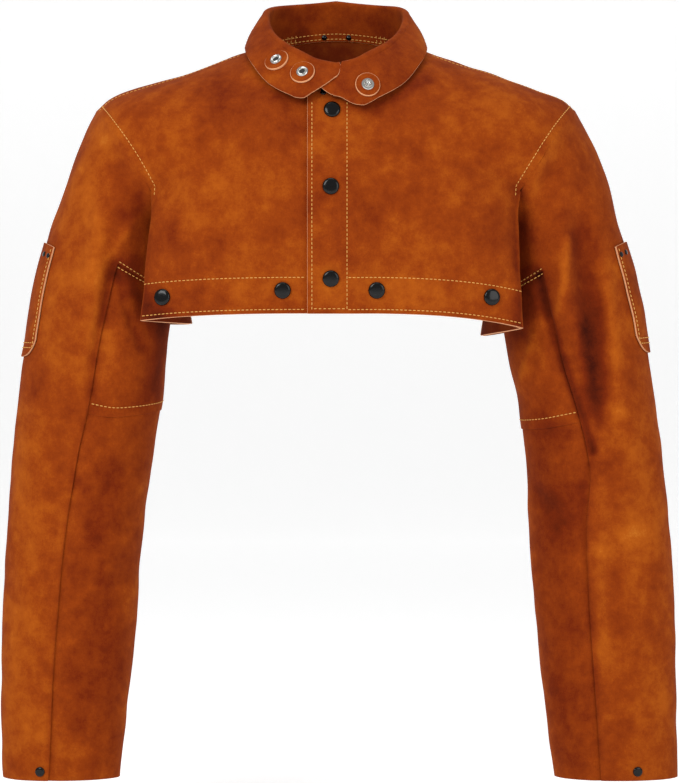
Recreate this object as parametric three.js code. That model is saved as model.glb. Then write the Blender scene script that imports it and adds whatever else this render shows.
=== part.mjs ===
// Welding cape with sleeves, in millimetres, +Z up, the front faces -Y.
// The origin is at the base of the neck, level with the lowest part of the shoulder ridge at the collar.
// Panels are curved leather sheets: an outer surface worked out from named sizes, thickened inwards.

import * as THREE from "three";

// Leather
const LEATHER = 1.8;
const FACING = 1.6;
const FACING_GAP = 1.0;
const FACING_GAP_BACK = 1.8;
const LAYER_GAP = 0.4;
const SEAM_GAP = 0.6;

// Shoulders and neck
const SHOULDER_HALF = 227;
const SHOULDER_TIP_UP = -49;
const NECK_HALF = 76;
const NECK_SIDE_UP = 10;
const NECK_FRONT_DROP = 42;
const NECK_BACK_RISE = 15;
const NECK_BACK_ARCH = 35;
const NECK_FRONT_LEAN = 0.2;
const SHOULDER_LINE = [
  { out: 0.0, fall: 0.0 },
  { out: 0.19, fall: 0.17 },
  { out: 0.49, fall: 0.43 },
  { out: 0.755, fall: 0.66 },
  { out: 0.915, fall: 0.82 },
  { out: 1.0, fall: 1.0 },
];

// Body, the hem measured down from the origin
const HEM_DOWN = 243;
const BACK_HEM_DOWN = 231;
const HEM_HALF_RIGHT = 183;
const HEM_HALF_LEFT = 174;
const HEM_DIP_RIGHT = 6;
const HEM_DIP_LEFT = 13;
const CHEST_DEPTH = 104;
const BACK_DEPTH = 104;
const CORNER_DEPTH_SHARE = 0.8;
const SIDE_SEAM_HALF = 141;
const SIDE_SEAM_DOWN_RIGHT = 251;
const SIDE_SEAM_DOWN_LEFT = 262;
const HEM_BAND = 34;
const FLATNESS = 4.5;
const ARCH_FRONT = 2;
const ARCH_BACK = 1.62;
const WRAP_AHEAD = 5;
const WRAP_NEAR = 0.72;
const WRAP_FAR = 0.5;
const DEPTHS = [
  { up: 0.0, front: 0.94, back: 0.9 },
  { up: 0.45, front: 1.0, back: 1.0 },
  { up: 0.8, front: 0.97, back: 0.98 },
  { up: 1.3, front: 0.88, back: 0.8 },
];

// Armhole, an upright ring seen edge-on from the front
const ARMHOLE_BOTTOM_HALF = 158;
const ARMHOLE_BOTTOM_DOWN = 160;
const ARMHOLE_FRONT = 76;
const ARMHOLE_BACK = 78;
const ARMHOLE_BOW = 5.5;
const ARMHOLE_CORNER = 118;
const ARMHOLE_EASE = 0.3;

// Placket down the front
const PLACKET_OVER = 26;
const PLACKET_FACING = 36;
const PLACKET_UNDER = 9;
const PLACKET_EASE = 34;
const PLACKET_CORNER_CUT = 15;

// Sleeves, rows from the armhole to the cuff
const SLEEVE_LENGTH = 631;
const SLEEVE_WIDTH = 137;
const SLEEVE_DEPTH = 134;
const SLEEVE_RIGHT = [
  { out: 1.04, down: 0.027, wide: 0.565, in_down: 0.201, deep: 0.99 },
  { out: 1.093, down: 0.071, wide: 0.655, in_down: 0.228, deep: 0.97 },
  { out: 1.15, down: 0.128, wide: 0.75, in_down: 0.256, deep: 0.945 },
  { out: 1.203, down: 0.192, wide: 0.843, in_down: 0.284, deep: 0.92 },
  { out: 1.251, down: 0.257, wide: 0.927, in_down: 0.314, deep: 0.9 },
  { out: 1.295, down: 0.338, wide: 0.978, in_down: 0.353, deep: 0.88 },
  { out: 1.33, down: 0.434, wide: 0.996, in_down: 0.434, deep: 0.865 },
  { out: 1.352, down: 0.512, wide: 0.978, in_down: 0.51, deep: 0.845 },
  { out: 1.37, down: 0.596, wide: 0.956, in_down: 0.596, deep: 0.81 },
  { out: 1.385, down: 0.683, wide: 0.942, in_down: 0.683, deep: 0.77 },
  { out: 1.399, down: 0.786, wide: 0.927, in_down: 0.786, deep: 0.72 },
  { out: 1.401, down: 0.873, wide: 0.89, in_down: 0.873, deep: 0.67 },
  { out: 1.389, down: 1.0, wide: 0.801, in_down: 1.0, deep: 0.6 },
];
const SLEEVE_LEFT = [
  { out: 1.045, down: 0.029, wide: 0.57, in_down: 0.201, deep: 0.99 },
  { out: 1.097, down: 0.07, wide: 0.655, in_down: 0.228, deep: 0.97 },
  { out: 1.145, down: 0.118, wide: 0.74, in_down: 0.256, deep: 0.945 },
  { out: 1.193, down: 0.19, wide: 0.825, in_down: 0.284, deep: 0.92 },
  { out: 1.24, down: 0.245, wide: 0.9, in_down: 0.318, deep: 0.9 },
  { out: 1.288, down: 0.321, wide: 0.95, in_down: 0.356, deep: 0.88 },
  { out: 1.335, down: 0.434, wide: 0.95, in_down: 0.434, deep: 0.865 },
  { out: 1.364, down: 0.508, wide: 0.95, in_down: 0.508, deep: 0.845 },
  { out: 1.388, down: 0.6, wide: 0.968, in_down: 0.6, deep: 0.81 },
  { out: 1.404, down: 0.686, wide: 0.974, in_down: 0.686, deep: 0.77 },
  { out: 1.42, down: 0.79, wide: 0.96, in_down: 0.79, deep: 0.72 },
  { out: 1.425, down: 0.88, wide: 0.92, in_down: 0.88, deep: 0.67 },
  { out: 1.425, down: 1.0, wide: 0.852, in_down: 1.0, deep: 0.6 },
];
const GUSSET_TOP = 0.15;
const LAP_SEAM_RIGHT = 0.387;
const LAP_SEAM_LEFT = 0.408;
const SEAM_RIGHT = [
  { at: 0.0, angle: ARMHOLE_CORNER },
  { at: 0.15, angle: 101 },
  { at: 0.387, angle: 93 },
  { at: 0.5, angle: 88 },
  { at: 0.65, angle: 84 },
  { at: 1.0, angle: 80 },
];
const SEAM_LEFT = [
  { at: 0.0, angle: ARMHOLE_CORNER },
  { at: 0.15, angle: 112 },
  { at: 0.3, angle: 109 },
  { at: 0.408, angle: 102 },
  { at: 0.5, angle: 98 },
  { at: 0.58, angle: 103 },
  { at: 0.7, angle: 105 },
  { at: 1.0, angle: 106 },
];
const FOLD_BEGUN = 0.35;
const FOLD_ENDING = 0.6;
const FOLDS_RIGHT = [
  { from: 0.09, to: 0.4, angle: 100, lean: -6, spread: 11, rise: -5 },
  { from: 0.04, to: 0.36, angle: 78, lean: 4, spread: 12, rise: 4 },
  { from: 0.34, to: 0.62, angle: 66, lean: 16, spread: 16, rise: -3 },
];
const FOLDS_LEFT = [
  { from: 0.04, to: 0.5, angle: 70, lean: 4, spread: 10, rise: -6 },
  { from: 0.08, to: 0.34, angle: 92, lean: 4, spread: 11, rise: 5 },
  { from: 0.14, to: 0.44, angle: 118, lean: -24, spread: 11, rise: -5 },
];

// Sleeve pocket
const POCKET_FROM = 0.17;
const POCKET_TO = 0.312;
const POCKET_HALF_ANGLE = 37;
const POCKET_CORNER = 0.024;
const POCKET_RIVET_AT = POCKET_FROM + 0.012;
const POCKET_LIFT = LEATHER + 3.5 * LAYER_GAP;
const POCKET_CELLS = 6;

// Collar
const ROLL_RADIUS = 2.0;
const ROLL_RADIUS_FRONT = 4.8;
const COLLAR_SIDE_HALF = 83.5;
const COLLAR_CLEAR = 1.6;
const COLLAR_END_LIFT = 4.6;
const COLLAR_CROSS_LIFT = 2.7;
const COLLAR_SWELL = 2.4;
const COLLAR_CORNERS = 0.62;
const COLLAR_BACK_LEAN = 0.92;
const COLLAR_FRONT_LEAN = 1.04;
const COLLAR_SIDE_LEAN = 0.88;
const COLLAR_HEIGHTS = [
  { angle: 0, roll: -13, lower: -57 },
  { angle: 8, roll: -11, lower: -55 },
  { angle: 17, roll: -8, lower: -48 },
  { angle: 27, roll: -2, lower: -41 },
  { angle: 45, roll: 8, lower: -27 },
  { angle: 60, roll: 18, lower: -14 },
  { angle: 75, roll: 30, lower: -3 },
  { angle: 90, roll: 43, lower: 7 },
  { angle: 110, roll: 51, lower: 9 },
  { angle: 135, roll: 56, lower: 13 },
  { angle: 180, roll: 62, lower: 18 },
];
const COLLAR_ROWS = [
  { layer: "stand", down: 0.0, right_end: 4, left_end: 5 },
  { layer: "stand", down: 0.5, right_end: 2, left_end: 5 },
  { layer: "roll", down: 0.0, right_end: -3, left_end: 5 },
  { layer: "roll", down: 0.25, right_end: -3, left_end: 5 },
  { layer: "roll", down: 0.5, right_end: -3, left_end: 5 },
  { layer: "roll", down: 0.75, right_end: -3, left_end: 4 },
  { layer: "roll", down: 1.0, right_end: -3, left_end: 2 },
  { layer: "fall", down: 0.35, right_end: 2, left_end: -8 },
  { layer: "fall", down: 0.7, right_end: 8.5, left_end: 0 },
  { layer: "fall", down: 0.92, right_end: 12, left_end: 4.3 },
  { layer: "fall", down: 1.0, right_end: 16, left_end: 8.5 },
];

// Metal
const SNAP_RADIUS = 7.6;
const SNAP_HEIGHT = 3.4;
const SNAP_FLAT = 3.6;
const CUFF_SNAP_RADIUS = 4.6;
const CUFF_SNAP_HEIGHT = 2.4;
const CUFF_SNAP_FLAT = 2.2;
const RIVET_RADIUS = 2.6;
const RIVET_HEIGHT = 1.6;
const RIVET_FLAT = 1.2;
const PATCH_RADIUS = 11.5;
const PATCH_THICK = 1.6;
const EYELET_RADIUS = 5.4;
const EYELET_HOLE = 2.2;
const EYELET_HEIGHT = 2.2;
const STUD_RADIUS = 5.6;
const STUD_HEIGHT = 3.6;
const STUD_FLAT = 2.4;
const SIT = 0.4;
const TOP_SNAP = { out: -11.5, down: 41, radius: 3, height: 1.4, flat: 1.6 };
const NECK_RIVET_DOWN = 0.1;
const NECK_RIVETS = [
  { name: "neck_rivet_1", angle: 171 },
  { name: "neck_rivet_2", angle: 189.5 },
];
const CUFF_SNAP = { angle: 72, at: 0.985 };
const POCKET_RIVETS = [
  { name: "1", in: 4 },
  { name: "2", in: 14 },
];
const PLACKET_SNAPS = [
  { name: "placket_snap_1", out: -3.5, down: 57 },
  { name: "placket_snap_2", out: -4.6, down: 127 },
  { name: "placket_snap_3", out: -4.6, down: 211 },
];
const HEM_SNAPS = [
  { name: "hem_snap_1", out: -160, down: 228 },
  { name: "hem_snap_2", out: -49, down: 222 },
  { name: "hem_snap_3", out: 37.5, down: 222 },
  { name: "hem_snap_4", out: 143.5, down: 228 },
];
const COLLAR_SNAPS = [
  { patch: "collar_patch_1", part: "collar_eyelet_1", angle: 40.5, down: 0.38 },
  { patch: "collar_patch_2", part: "collar_eyelet_2", angle: 19, down: 0.34 },
  { patch: "collar_patch_3", part: "collar_stud", angle: -14.5, down: 0.6 },
];

// Mesh fineness
const ARM_ROWS = 6;
const OUTER_COLUMNS = 6;
const INNER_COLUMNS = 4;
const WRAP_COLUMNS = 4;
const LATHE_SIDES = 12;
const LOWER_ROWS = [0, 0.14, 0.285, 0.5, 0.75, 1.0];
const NEAR_COLUMNS = [0, 0.06, 0.115, 0.175, 0.235, 0.285, 0.318];
const FRONT_COLUMNS = [...NEAR_COLUMNS, 0.335, 0.42, 0.53, 0.64, 0.75, 0.84, 0.92, 0.97, 1];
const COLLAR_STEPS = 42;
const ROWS_ABOVE_LAP = [0, 0.03, 0.065, 0.105, GUSSET_TOP, 0.2, 0.25, 0.295, 0.34];
const ROWS_BELOW_LAP = [0.46, 0.53, 0.62, 0.72, 0.86, 1];

const DEGREE = Math.PI / 180;

// Reads one column of a table at a place, as a smooth curve through the rows
function along(table, place, key, column) {
  const last = table.length - 1;
  const x = Math.min(Math.max(place, table[0][key]), table[last][key]);
  let i = 0;
  while (i < last - 1 && x > table[i + 1][key]) {
    i += 1;
  }
  const rise = (a, b) => table[b][column] - table[a][column];
  const slope = (a, b) => rise(a, b) / (table[b][key] - table[a][key]);
  const step = table[i + 1][key] - table[i][key];
  const t = (x - table[i][key]) / step;
  const startSlope = slope(Math.max(i - 1, 0), i + 1) * step;
  const endSlope = slope(i, Math.min(i + 2, last)) * step;
  const a = table[i][column];
  const b = table[i + 1][column];
  const t2 = t * t;
  const t3 = t2 * t;
  const between = a * (2 * t3 - 3 * t2 + 1) + b * (3 * t2 - 2 * t3);
  return between + startSlope * (t3 - 2 * t2 + t) + endSlope * (t3 - t2);
}

function mix(a, b, t) {
  return a + (b - a) * t;
}

function smooth(from, to, x) {
  const t = Math.min(Math.max((x - from) / (to - from), 0), 1);
  return t * t * (3 - 2 * t);
}

// Quarter-round profile, from nothing at 0 to full at 1
function arch(q) {
  const c = Math.min(Math.max(q, 0), 1);
  return Math.sqrt(1 - (1 - c) * (1 - c));
}

// Body surface

// Height of the shoulder ridge, and of the arch that carries on behind the neck edge
function ridgeUp(out, face) {
  const x = Math.abs(out);
  if (x >= NECK_HALF) {
    const share = (x - NECK_HALF) / (SHOULDER_HALF - NECK_HALF);
    const fall = along(SHOULDER_LINE, share, "out", "fall");
    return mix(NECK_SIDE_UP, SHOULDER_TIP_UP, fall);
  }
  const inside = 1 - (x / NECK_HALF) ** 2;
  if (face === "front") {
    return NECK_SIDE_UP + (NECK_HALF - x) * NECK_FRONT_LEAN;
  }
  return NECK_SIDE_UP + (NECK_BACK_RISE + NECK_BACK_ARCH) * inside;
}

// Height of the neck edge
function neckUp(out, face) {
  const inside = 1 - (out / NECK_HALF) ** 2;
  return face === "front" ? NECK_SIDE_UP - NECK_FRONT_DROP * inside : NECK_SIDE_UP + NECK_BACK_RISE * inside;
}

// Point on the armhole ring, 0 degrees at the shoulder tip, 180 under the arm
function armholePoint(angle, face) {
  const c = Math.cos(angle * DEGREE);
  const s = Math.sin(angle * DEGREE);
  const halfOut = (SHOULDER_HALF - ARMHOLE_BOTTOM_HALF) / 2;
  const halfUp = (SHOULDER_TIP_UP + ARMHOLE_BOTTOM_DOWN) / 2;
  const length = Math.hypot(halfOut, halfUp);
  const bow = ARMHOLE_BOW * s * s;
  const depth = face === "front" ? -ARMHOLE_FRONT : ARMHOLE_BACK;
  return new THREE.Vector3(
    ARMHOLE_BOTTOM_HALF + halfOut + halfOut * c - (bow * halfUp) / length,
    depth * s,
    -ARMHOLE_BOTTOM_DOWN + halfUp + halfUp * c + (bow * halfOut) / length,
  );
}

// Direction along the arm, square to the armhole ring
function armholeAcross(angle) {
  const near = armholePoint(Math.max(angle - 2, 0), "front");
  const far = armholePoint(Math.min(angle + 2, 180), "front");
  const along2 = far.sub(near);
  along2.y = 0;
  along2.normalize();
  return new THREE.Vector3(-along2.z, 0, along2.x);
}

function hemHalf(side) {
  return side < 0 ? HEM_HALF_RIGHT : HEM_HALF_LEFT;
}

function sideSeamDown(side) {
  return side < 0 ? SIDE_SEAM_DOWN_RIGHT : SIDE_SEAM_DOWN_LEFT;
}

function hemUp(share, side, face) {
  const dip = side < 0 ? HEM_DIP_RIGHT : HEM_DIP_LEFT;
  if (face === "front") {
    return -HEM_DOWN - dip * share ** 3;
  }
  return mix(-BACK_HEM_DOWN, -HEM_DOWN - dip, share ** 3);
}

// Edge line of the front or back: up the side fold, then up the armhole to the shoulder tip
// level 0..1 is the side fold, 1..2 the armhole
function edgePoint(level, side, face) {
  const corner = armholePoint(ARMHOLE_CORNER, face);
  if (level > 1) {
    return armholePoint(ARMHOLE_CORNER * (2 - level), face);
  }
  const depth = CORNER_DEPTH_SHARE * (face === "front" ? -CHEST_DEPTH : BACK_DEPTH);
  const low = new THREE.Vector3(hemHalf(side), depth, hemUp(1, side, face));
  return low.lerp(corner, level);
}

// Point of the front or back, share 0 at the centre line and 1 at the edge line
function bodyPoint(out, level, face) {
  const side = out < 0 ? -1 : 1;
  const edge = edgePoint(level, side, face);
  const share = Math.min(Math.abs(out) / edge.x, 1);
  const top = share * SHOULDER_HALF;
  const topUp = top < NECK_HALF ? neckUp(top, face) : ridgeUp(top, face);
  const hemEdge = hemUp(1, side, face);
  const rise = (edge.z - hemEdge) / (SHOULDER_TIP_UP - hemEdge);
  const up = mix(hemUp(share, side, face), topUp, rise);
  return new THREE.Vector3(out, -bodyDepth(out, up, share, edge, face), up);
}

// How far below the ridge a panel has turned upright
function archHeight(out, face) {
  const reach = Math.abs(out) / SHOULDER_HALF;
  const halfUp = (SHOULDER_TIP_UP + ARMHOLE_BOTTOM_DOWN) / 2;
  const middle = face === "front" ? ARCH_FRONT : ARCH_BACK;
  return mix(middle * halfUp, halfUp, reach);
}

function bodyDepth(out, up, share, edge, face) {
  const full = face === "front" ? CHEST_DEPTH : -BACK_DEPTH;
  const height = (up + HEM_DOWN) / (HEM_DOWN + SHOULDER_TIP_UP);
  const depth = full * along(DEPTHS, height, "up", face);
  const round = arch((ridgeUp(out, face) - up) / archHeight(out, face));
  const blend = share ** FLATNESS;
  return depth * round * (1 - blend) - edge.y * blend;
}

// Finds the point of the front or back that is seen at a place in the front view
function bodyAt(out, up, face) {
  let low = 0;
  let high = 2;
  for (let i = 0; i < 40; i += 1) {
    const level = (low + high) / 2;
    if (bodyPoint(out, level, face).z < up) {
      low = level;
    } else {
      high = level;
    }
  }
  return bodyPoint(out, (low + high) / 2, face);
}

function bodyFrame(out, up, face) {
  const centre = bodyAt(out, up, face);
  const right = bodyAt(out + 4, up, face).sub(bodyAt(out - 4, up, face));
  const above = bodyAt(out, up + 4, face).sub(bodyAt(out, up - 4, face));
  const normal = right.cross(above).normalize();
  if (face === "back") {
    normal.negate();
  }
  return { centre, normal };
}

// Side of the body under the arm, turn 0 at the edge line and 1 at the side seam
function wrapPoint(turn, level, side, face) {
  const angle = mix(ARMHOLE_CORNER, 180, turn);
  const top = armholePoint(angle, face);
  const corner = edgePoint(0, side, face);
  const t = turn;
  const s = 1 - t;
  const outAhead = corner.x + WRAP_AHEAD;
  const nearX = s ** 3 * corner.x + 3 * s * s * t * outAhead;
  const x = nearX + (3 * s * t * t + t ** 3) * SIDE_SEAM_HALF;
  const y = corner.y * (s ** 3 + 3 * s * s * t * WRAP_NEAR + 3 * s * t * t * WRAP_FAR);
  const z = mix(corner.z, -sideSeamDown(side), smooth(0, 1, turn));
  return new THREE.Vector3(x, y, z).lerp(top, level);
}

// Sleeve surface

function sleeveRow(table, at) {
  const rows = [
    {
      out: 1,
      down: 0,
      wide: (SHOULDER_HALF - ARMHOLE_BOTTOM_HALF) / SLEEVE_WIDTH,
      in_down: (ARMHOLE_BOTTOM_DOWN + SHOULDER_TIP_UP) / SLEEVE_LENGTH,
      deep: (2 * ARMHOLE_FRONT) / SLEEVE_DEPTH,
    },
    ...table,
  ].map((row) => ({ ...row, at: (row.down + row.in_down) / 2 }));
  const start = rows[0].at;
  const keyed = rows.map((row) => ({ ...row, at: (row.at - start) / (1 - start) }));
  const read = (column) => along(keyed, at, "at", column);
  return {
    out: read("out") * SHOULDER_HALF,
    wide: read("wide") * SLEEVE_WIDTH,
    up: SHOULDER_TIP_UP - read("down") * SLEEVE_LENGTH,
    inUp: SHOULDER_TIP_UP - read("in_down") * SLEEVE_LENGTH,
    deep: (read("deep") * SLEEVE_DEPTH) / 2,
  };
}

// Point of a sleeve drawn on +X, angle 0 on the outside, 90 in front, 180 on the inside
function sleevePoint(table, folds, angle, at) {
  const turn = angle > 180 ? angle - 360 : angle;
  const face = turn >= 0 ? "front" : "back";
  if (at <= 0) {
    const size = Math.abs(turn);
    return armholePoint(size, face).addScaledVector(armholeAcross(size), ARMHOLE_EASE);
  }
  const row = sleeveRow(table, at);
  const c = Math.cos(turn * DEGREE);
  const s = Math.sin(turn * DEGREE);
  const halfOut = row.wide / 2;
  const halfUp = (row.up - row.inUp) / 2;
  const length = Math.hypot(halfOut, halfUp);
  const fade = 1 - smooth(0, 0.16, at);
  const bow = ARMHOLE_BOW * s * s * fade;
  const backStretch = face === "back" ? mix(1, ARMHOLE_BACK / ARMHOLE_FRONT, fade) : 1;
  let swell = 0;
  for (const fold of folds) {
    const middle = fold.angle + (fold.lean * (at - fold.from)) / (fold.to - fold.from);
    const off = (turn - middle) / fold.spread;
    const begun = smooth(fold.from, mix(fold.from, fold.to, FOLD_BEGUN), at);
    const over = smooth(mix(fold.from, fold.to, FOLD_ENDING), fold.to, at);
    swell += fold.rise * begun * (1 - over) * Math.exp(-off * off);
  }
  return new THREE.Vector3(
    row.out - halfOut + halfOut * c - (bow * halfUp) / length + swell * c * 0.7,
    -(row.deep * backStretch + swell) * s,
    (row.up + row.inUp) / 2 + halfUp * c + (bow * halfOut) / length,
  );
}

// Collar surface, angle 0 at the front centre, growing towards the wearer's right, 180 at the back

function neckPoint(angle) {
  const x = -NECK_HALF * Math.sin(angle * DEGREE);
  const face = Math.cos(angle * DEGREE) > 0 ? "front" : "back";
  const up = neckUp(x, face);
  const height = (up + HEM_DOWN) / (HEM_DOWN + SHOULDER_TIP_UP);
  const full = face === "front" ? -CHEST_DEPTH : BACK_DEPTH;
  const y = full * along(DEPTHS, height, "up", face) * arch((ridgeUp(x, face) - up) / archHeight(x, face));
  return new THREE.Vector3(x, y, up);
}

function collarAway(angle) {
  const step = neckPoint(angle + 4).sub(neckPoint(angle - 4));
  return new THREE.Vector3(-step.y, step.x, 0).normalize();
}

function collarPoint(angle, row) {
  const mirrored = Math.abs(((angle + 540) % 360) - 180);
  const rollUp = along(COLLAR_HEIGHTS, mirrored, "angle", "roll");
  const lowerUp = along(COLLAR_HEIGHTS, mirrored, "angle", "lower");
  const base = neckPoint(angle);
  const away = collarAway(angle);
  const lean = mix(COLLAR_BACK_LEAN, COLLAR_FRONT_LEAN, Math.max(Math.cos(angle * DEGREE), 0));
  const top = new THREE.Vector3(base.x * COLLAR_SIDE_LEAN, base.y * lean, rollUp);
  const roll = mix(ROLL_RADIUS_FRONT, ROLL_RADIUS, smooth(25, 60, mirrored));
  const standSide = top.clone().addScaledVector(away, -roll);
  if (row.layer === "stand") {
    const low = base.clone().addScaledVector(away, -LEATHER);
    low.z -= LAYER_GAP / 2;
    const high = standSide.clone();
    high.z -= roll;
    return low.lerp(high, row.down);
  }
  if (row.layer === "roll") {
    const turn = row.down * Math.PI;
    const point = top.clone().addScaledVector(away, -roll * Math.cos(turn));
    point.z += roll * (Math.sin(turn) - 1);
    return point;
  }
  const out = COLLAR_SIDE_HALF * Math.abs(Math.sin(angle * DEGREE)) ** COLLAR_CORNERS * Math.sign(base.x || 1);
  const face = Math.cos(angle * DEGREE) > 0 ? "front" : "back";
  const touch = bodyFrame(out, Math.min(lowerUp, ridgeUp(out, face) - 0.5), face);
  const nearEnd = 1 - smooth(16, 42, mirrored);
  const wrapped = angle > 180 ? angle - 360 : angle;
  const isRightTab = row.tab === "right";
  const cross = isRightTab ? COLLAR_CROSS_LIFT * (1 - smooth(8, 34, wrapped)) : 0;
  const clear = COLLAR_CLEAR + LEATHER + COLLAR_END_LIFT * nearEnd + cross;
  const edge = touch.centre.clone().addScaledVector(touch.normal, clear);
  const start = top.clone().addScaledVector(away, roll + cross * smooth(0, 0.3, row.down));
  start.z -= roll;
  const point = start.lerp(edge, row.down);
  return point.addScaledVector(away, COLLAR_SWELL * Math.sin(row.down * Math.PI));
}

// Sheets

class Sheet {
  constructor() {
    this.points = [];
    this.seams = [];
    this.quads = [];
  }

  add(point, seam = null) {
    this.points.push(point);
    this.seams.push(seam);
    return this.points.length - 1;
  }

  quad(a, b, c, d) {
    this.quads.push([a, b, c, d]);
  }

  mirror() {
    for (const point of this.points) {
      point.x = -point.x;
    }
    for (const seam of this.seams) {
      if (seam) {
        seam.x = -seam.x;
      }
    }
    this.quads = this.quads.map((quad) => [...quad].reverse());
    return this;
  }

  normals() {
    const sums = this.points.map(() => new THREE.Vector3());
    for (const [a, b, c, d] of this.quads) {
      const across = this.points[c].clone().sub(this.points[a]);
      const other = this.points[d].clone().sub(this.points[b]);
      const normal = across.cross(other);
      for (const i of [a, b, c, d]) {
        sums[i].add(normal);
      }
    }
    return sums.map((sum, i) => {
      const normal = sum.normalize();
      const seam = this.seams[i];
      if (seam) {
        normal.addScaledVector(seam, -normal.dot(seam)).normalize();
      }
      return normal;
    });
  }

  edges() {
    const open = new Map();
    for (const quad of this.quads) {
      for (let i = 0; i < 4; i += 1) {
        const a = quad[i];
        const b = quad[(i + 1) % 4];
        if (!open.delete(`${b}_${a}`)) {
          open.set(`${a}_${b}`, [a, b]);
        }
      }
    }
    return [...open.values()];
  }

  // Only the quads that are kept, with the normals of the whole surface
  piece(keep, shift = 0) {
    const normals = this.normals();
    const part = new Sheet();
    const map = new Map();
    part.fixed = [];
    const take = (i) => {
      if (!map.has(i)) {
        map.set(i, part.add(this.points[i].clone().addScaledVector(normals[i], shift), this.seams[i]));
        part.fixed.push(normals[i]);
      }
      return map.get(i);
    };
    this.quads.forEach((quad, n) => {
      if (keep(n)) {
        part.quad(...quad.map(take));
      }
    });
    return part;
  }

  // Closed solid: the surface drawn in from its edges by half a seam gap, thickened inwards
  solid(thickness, name, material) {
    const normals = this.fixed || this.normals();
    const edges = this.edges();
    const lean = this.points.map(() => []);
    for (const [a, b] of edges) {
      const step = this.points[b].clone().sub(this.points[a]);
      for (const i of [a, b]) {
        lean[i].push(normals[i].clone().cross(step).normalize());
      }
    }
    const outer = this.points.map((point, i) => {
      if (lean[i].length !== 2) {
        return point.clone();
      }
      const [first, second] = lean[i];
      const inset = SEAM_GAP / 2 / Math.max(1 + first.dot(second), 0.5);
      return point.clone().addScaledVector(first, inset).addScaledVector(second, inset);
    });
    const inner = outer.map((point, i) => point.clone().addScaledVector(normals[i], -thickness));
    const all = [...outer, ...inner];
    const half = outer.length;
    const index = [];
    for (const [a, b, c, d] of this.quads) {
      index.push(a, b, c, a, c, d);
      index.push(half + a, half + c, half + b, half + a, half + d, half + c);
    }
    for (const [a, b] of edges) {
      index.push(b, a, half + a, b, half + a, half + b);
    }
    const geometry = new THREE.BufferGeometry();
    const positions = new Float32Array(all.length * 3);
    all.forEach((point, i) => positions.set([point.x, point.y, point.z], i * 3));
    geometry.setAttribute("position", new THREE.BufferAttribute(positions, 3));
    geometry.setIndex(index);
    geometry.computeVertexNormals();
    const mesh = new THREE.Mesh(geometry, material);
    mesh.name = name;
    return mesh;
  }
}

function leather(colour) {
  return new THREE.MeshStandardMaterial({ color: colour, roughness: 0.9, metalness: 0 });
}

function metal(colour, roughness) {
  return new THREE.MeshStandardMaterial({ color: colour, roughness, metalness: 0.9 });
}

// Levels of the rows: the lower rows up the side fold, then the rows up the armhole
function bodyLevels() {
  const upper = Array.from({ length: ARM_ROWS }, (_, i) => 1 + (i + 1) / ARM_ROWS);
  return [...LOWER_ROWS, ...upper];
}

// Extra height of the layers at the placket, faded out to the side
function placketLift(out) {
  const full = LAYER_GAP * 2 + LEATHER + FACING;
  return full * (1 - smooth(PLACKET_FACING - PLACKET_OVER, PLACKET_FACING - PLACKET_OVER + PLACKET_EASE, out));
}

// Rounded corner of the lapped edge at the neck
function cornerCut(out, level) {
  const share = Math.max(0, (-out - PLACKET_OVER * 0.35) / (PLACKET_OVER * 0.65));
  return PLACKET_CORNER_CUT * share * share * smooth(1.45, 2, level);
}

// Moves a point of the front down by the corner cut and out to its layer
function liftOnto(point, out, level, lift) {
  const cut = cornerCut(out, level);
  if (cut > 0) {
    point.copy(bodyAt(out, point.z - cut, "front"));
  }
  const frame = bodyFrame(out, Math.min(point.z, ridgeUp(out, "front") - 8), "front");
  point.addScaledVector(frame.normal, lift);
}

// One front, drawn on its own side, with its part past the centre line
function frontSheet(side, past, lifted) {
  const sheet = new Sheet();
  const levels = bodyLevels();
  const beyond = past.map((out) => ({ out, share: null }));
  const columns = [...beyond, ...FRONT_COLUMNS.map((share) => ({ out: null, share }))];
  const grid = levels.map((level) =>
    columns.map((column) => {
      const edge = edgePoint(level, side, "front");
      const out = column.share === null ? -side * column.out : side * column.share * edge.x;
      const point = bodyPoint(out, level, "front");
      if (lifted && out < PLACKET_FACING) {
        liftOnto(point, out, level, placketLift(out));
      }
      const onShoulder = level === 2 && column.share !== null && column.share * SHOULDER_HALF >= NECK_HALF - 1;
      let seam = onShoulder ? new THREE.Vector3(0, 1, 0) : null;
      if (column.share === 1 && level >= 1 && level < 2) {
        seam = armholeAcross(ARMHOLE_CORNER * (2 - level));
        seam.x *= side;
      }
      return sheet.add(point, seam);
    }),
  );
  const rowsBelow = LOWER_ROWS.length;
  wrapOnto(sheet, grid, rowsBelow, side, "front", levels);
  for (let j = 0; j < levels.length - 1; j += 1) {
    for (let i = 0; i < columns.length - 1; i += 1) {
      addQuad(sheet, side > 0, grid[j][i], grid[j][i + 1], grid[j + 1][i + 1], grid[j + 1][i]);
    }
  }
  return sheet;
}

function addQuad(sheet, forward, a, b, c, d) {
  if (forward) {
    sheet.quad(a, b, c, d);
  } else {
    sheet.quad(d, c, b, a);
  }
}

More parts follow.
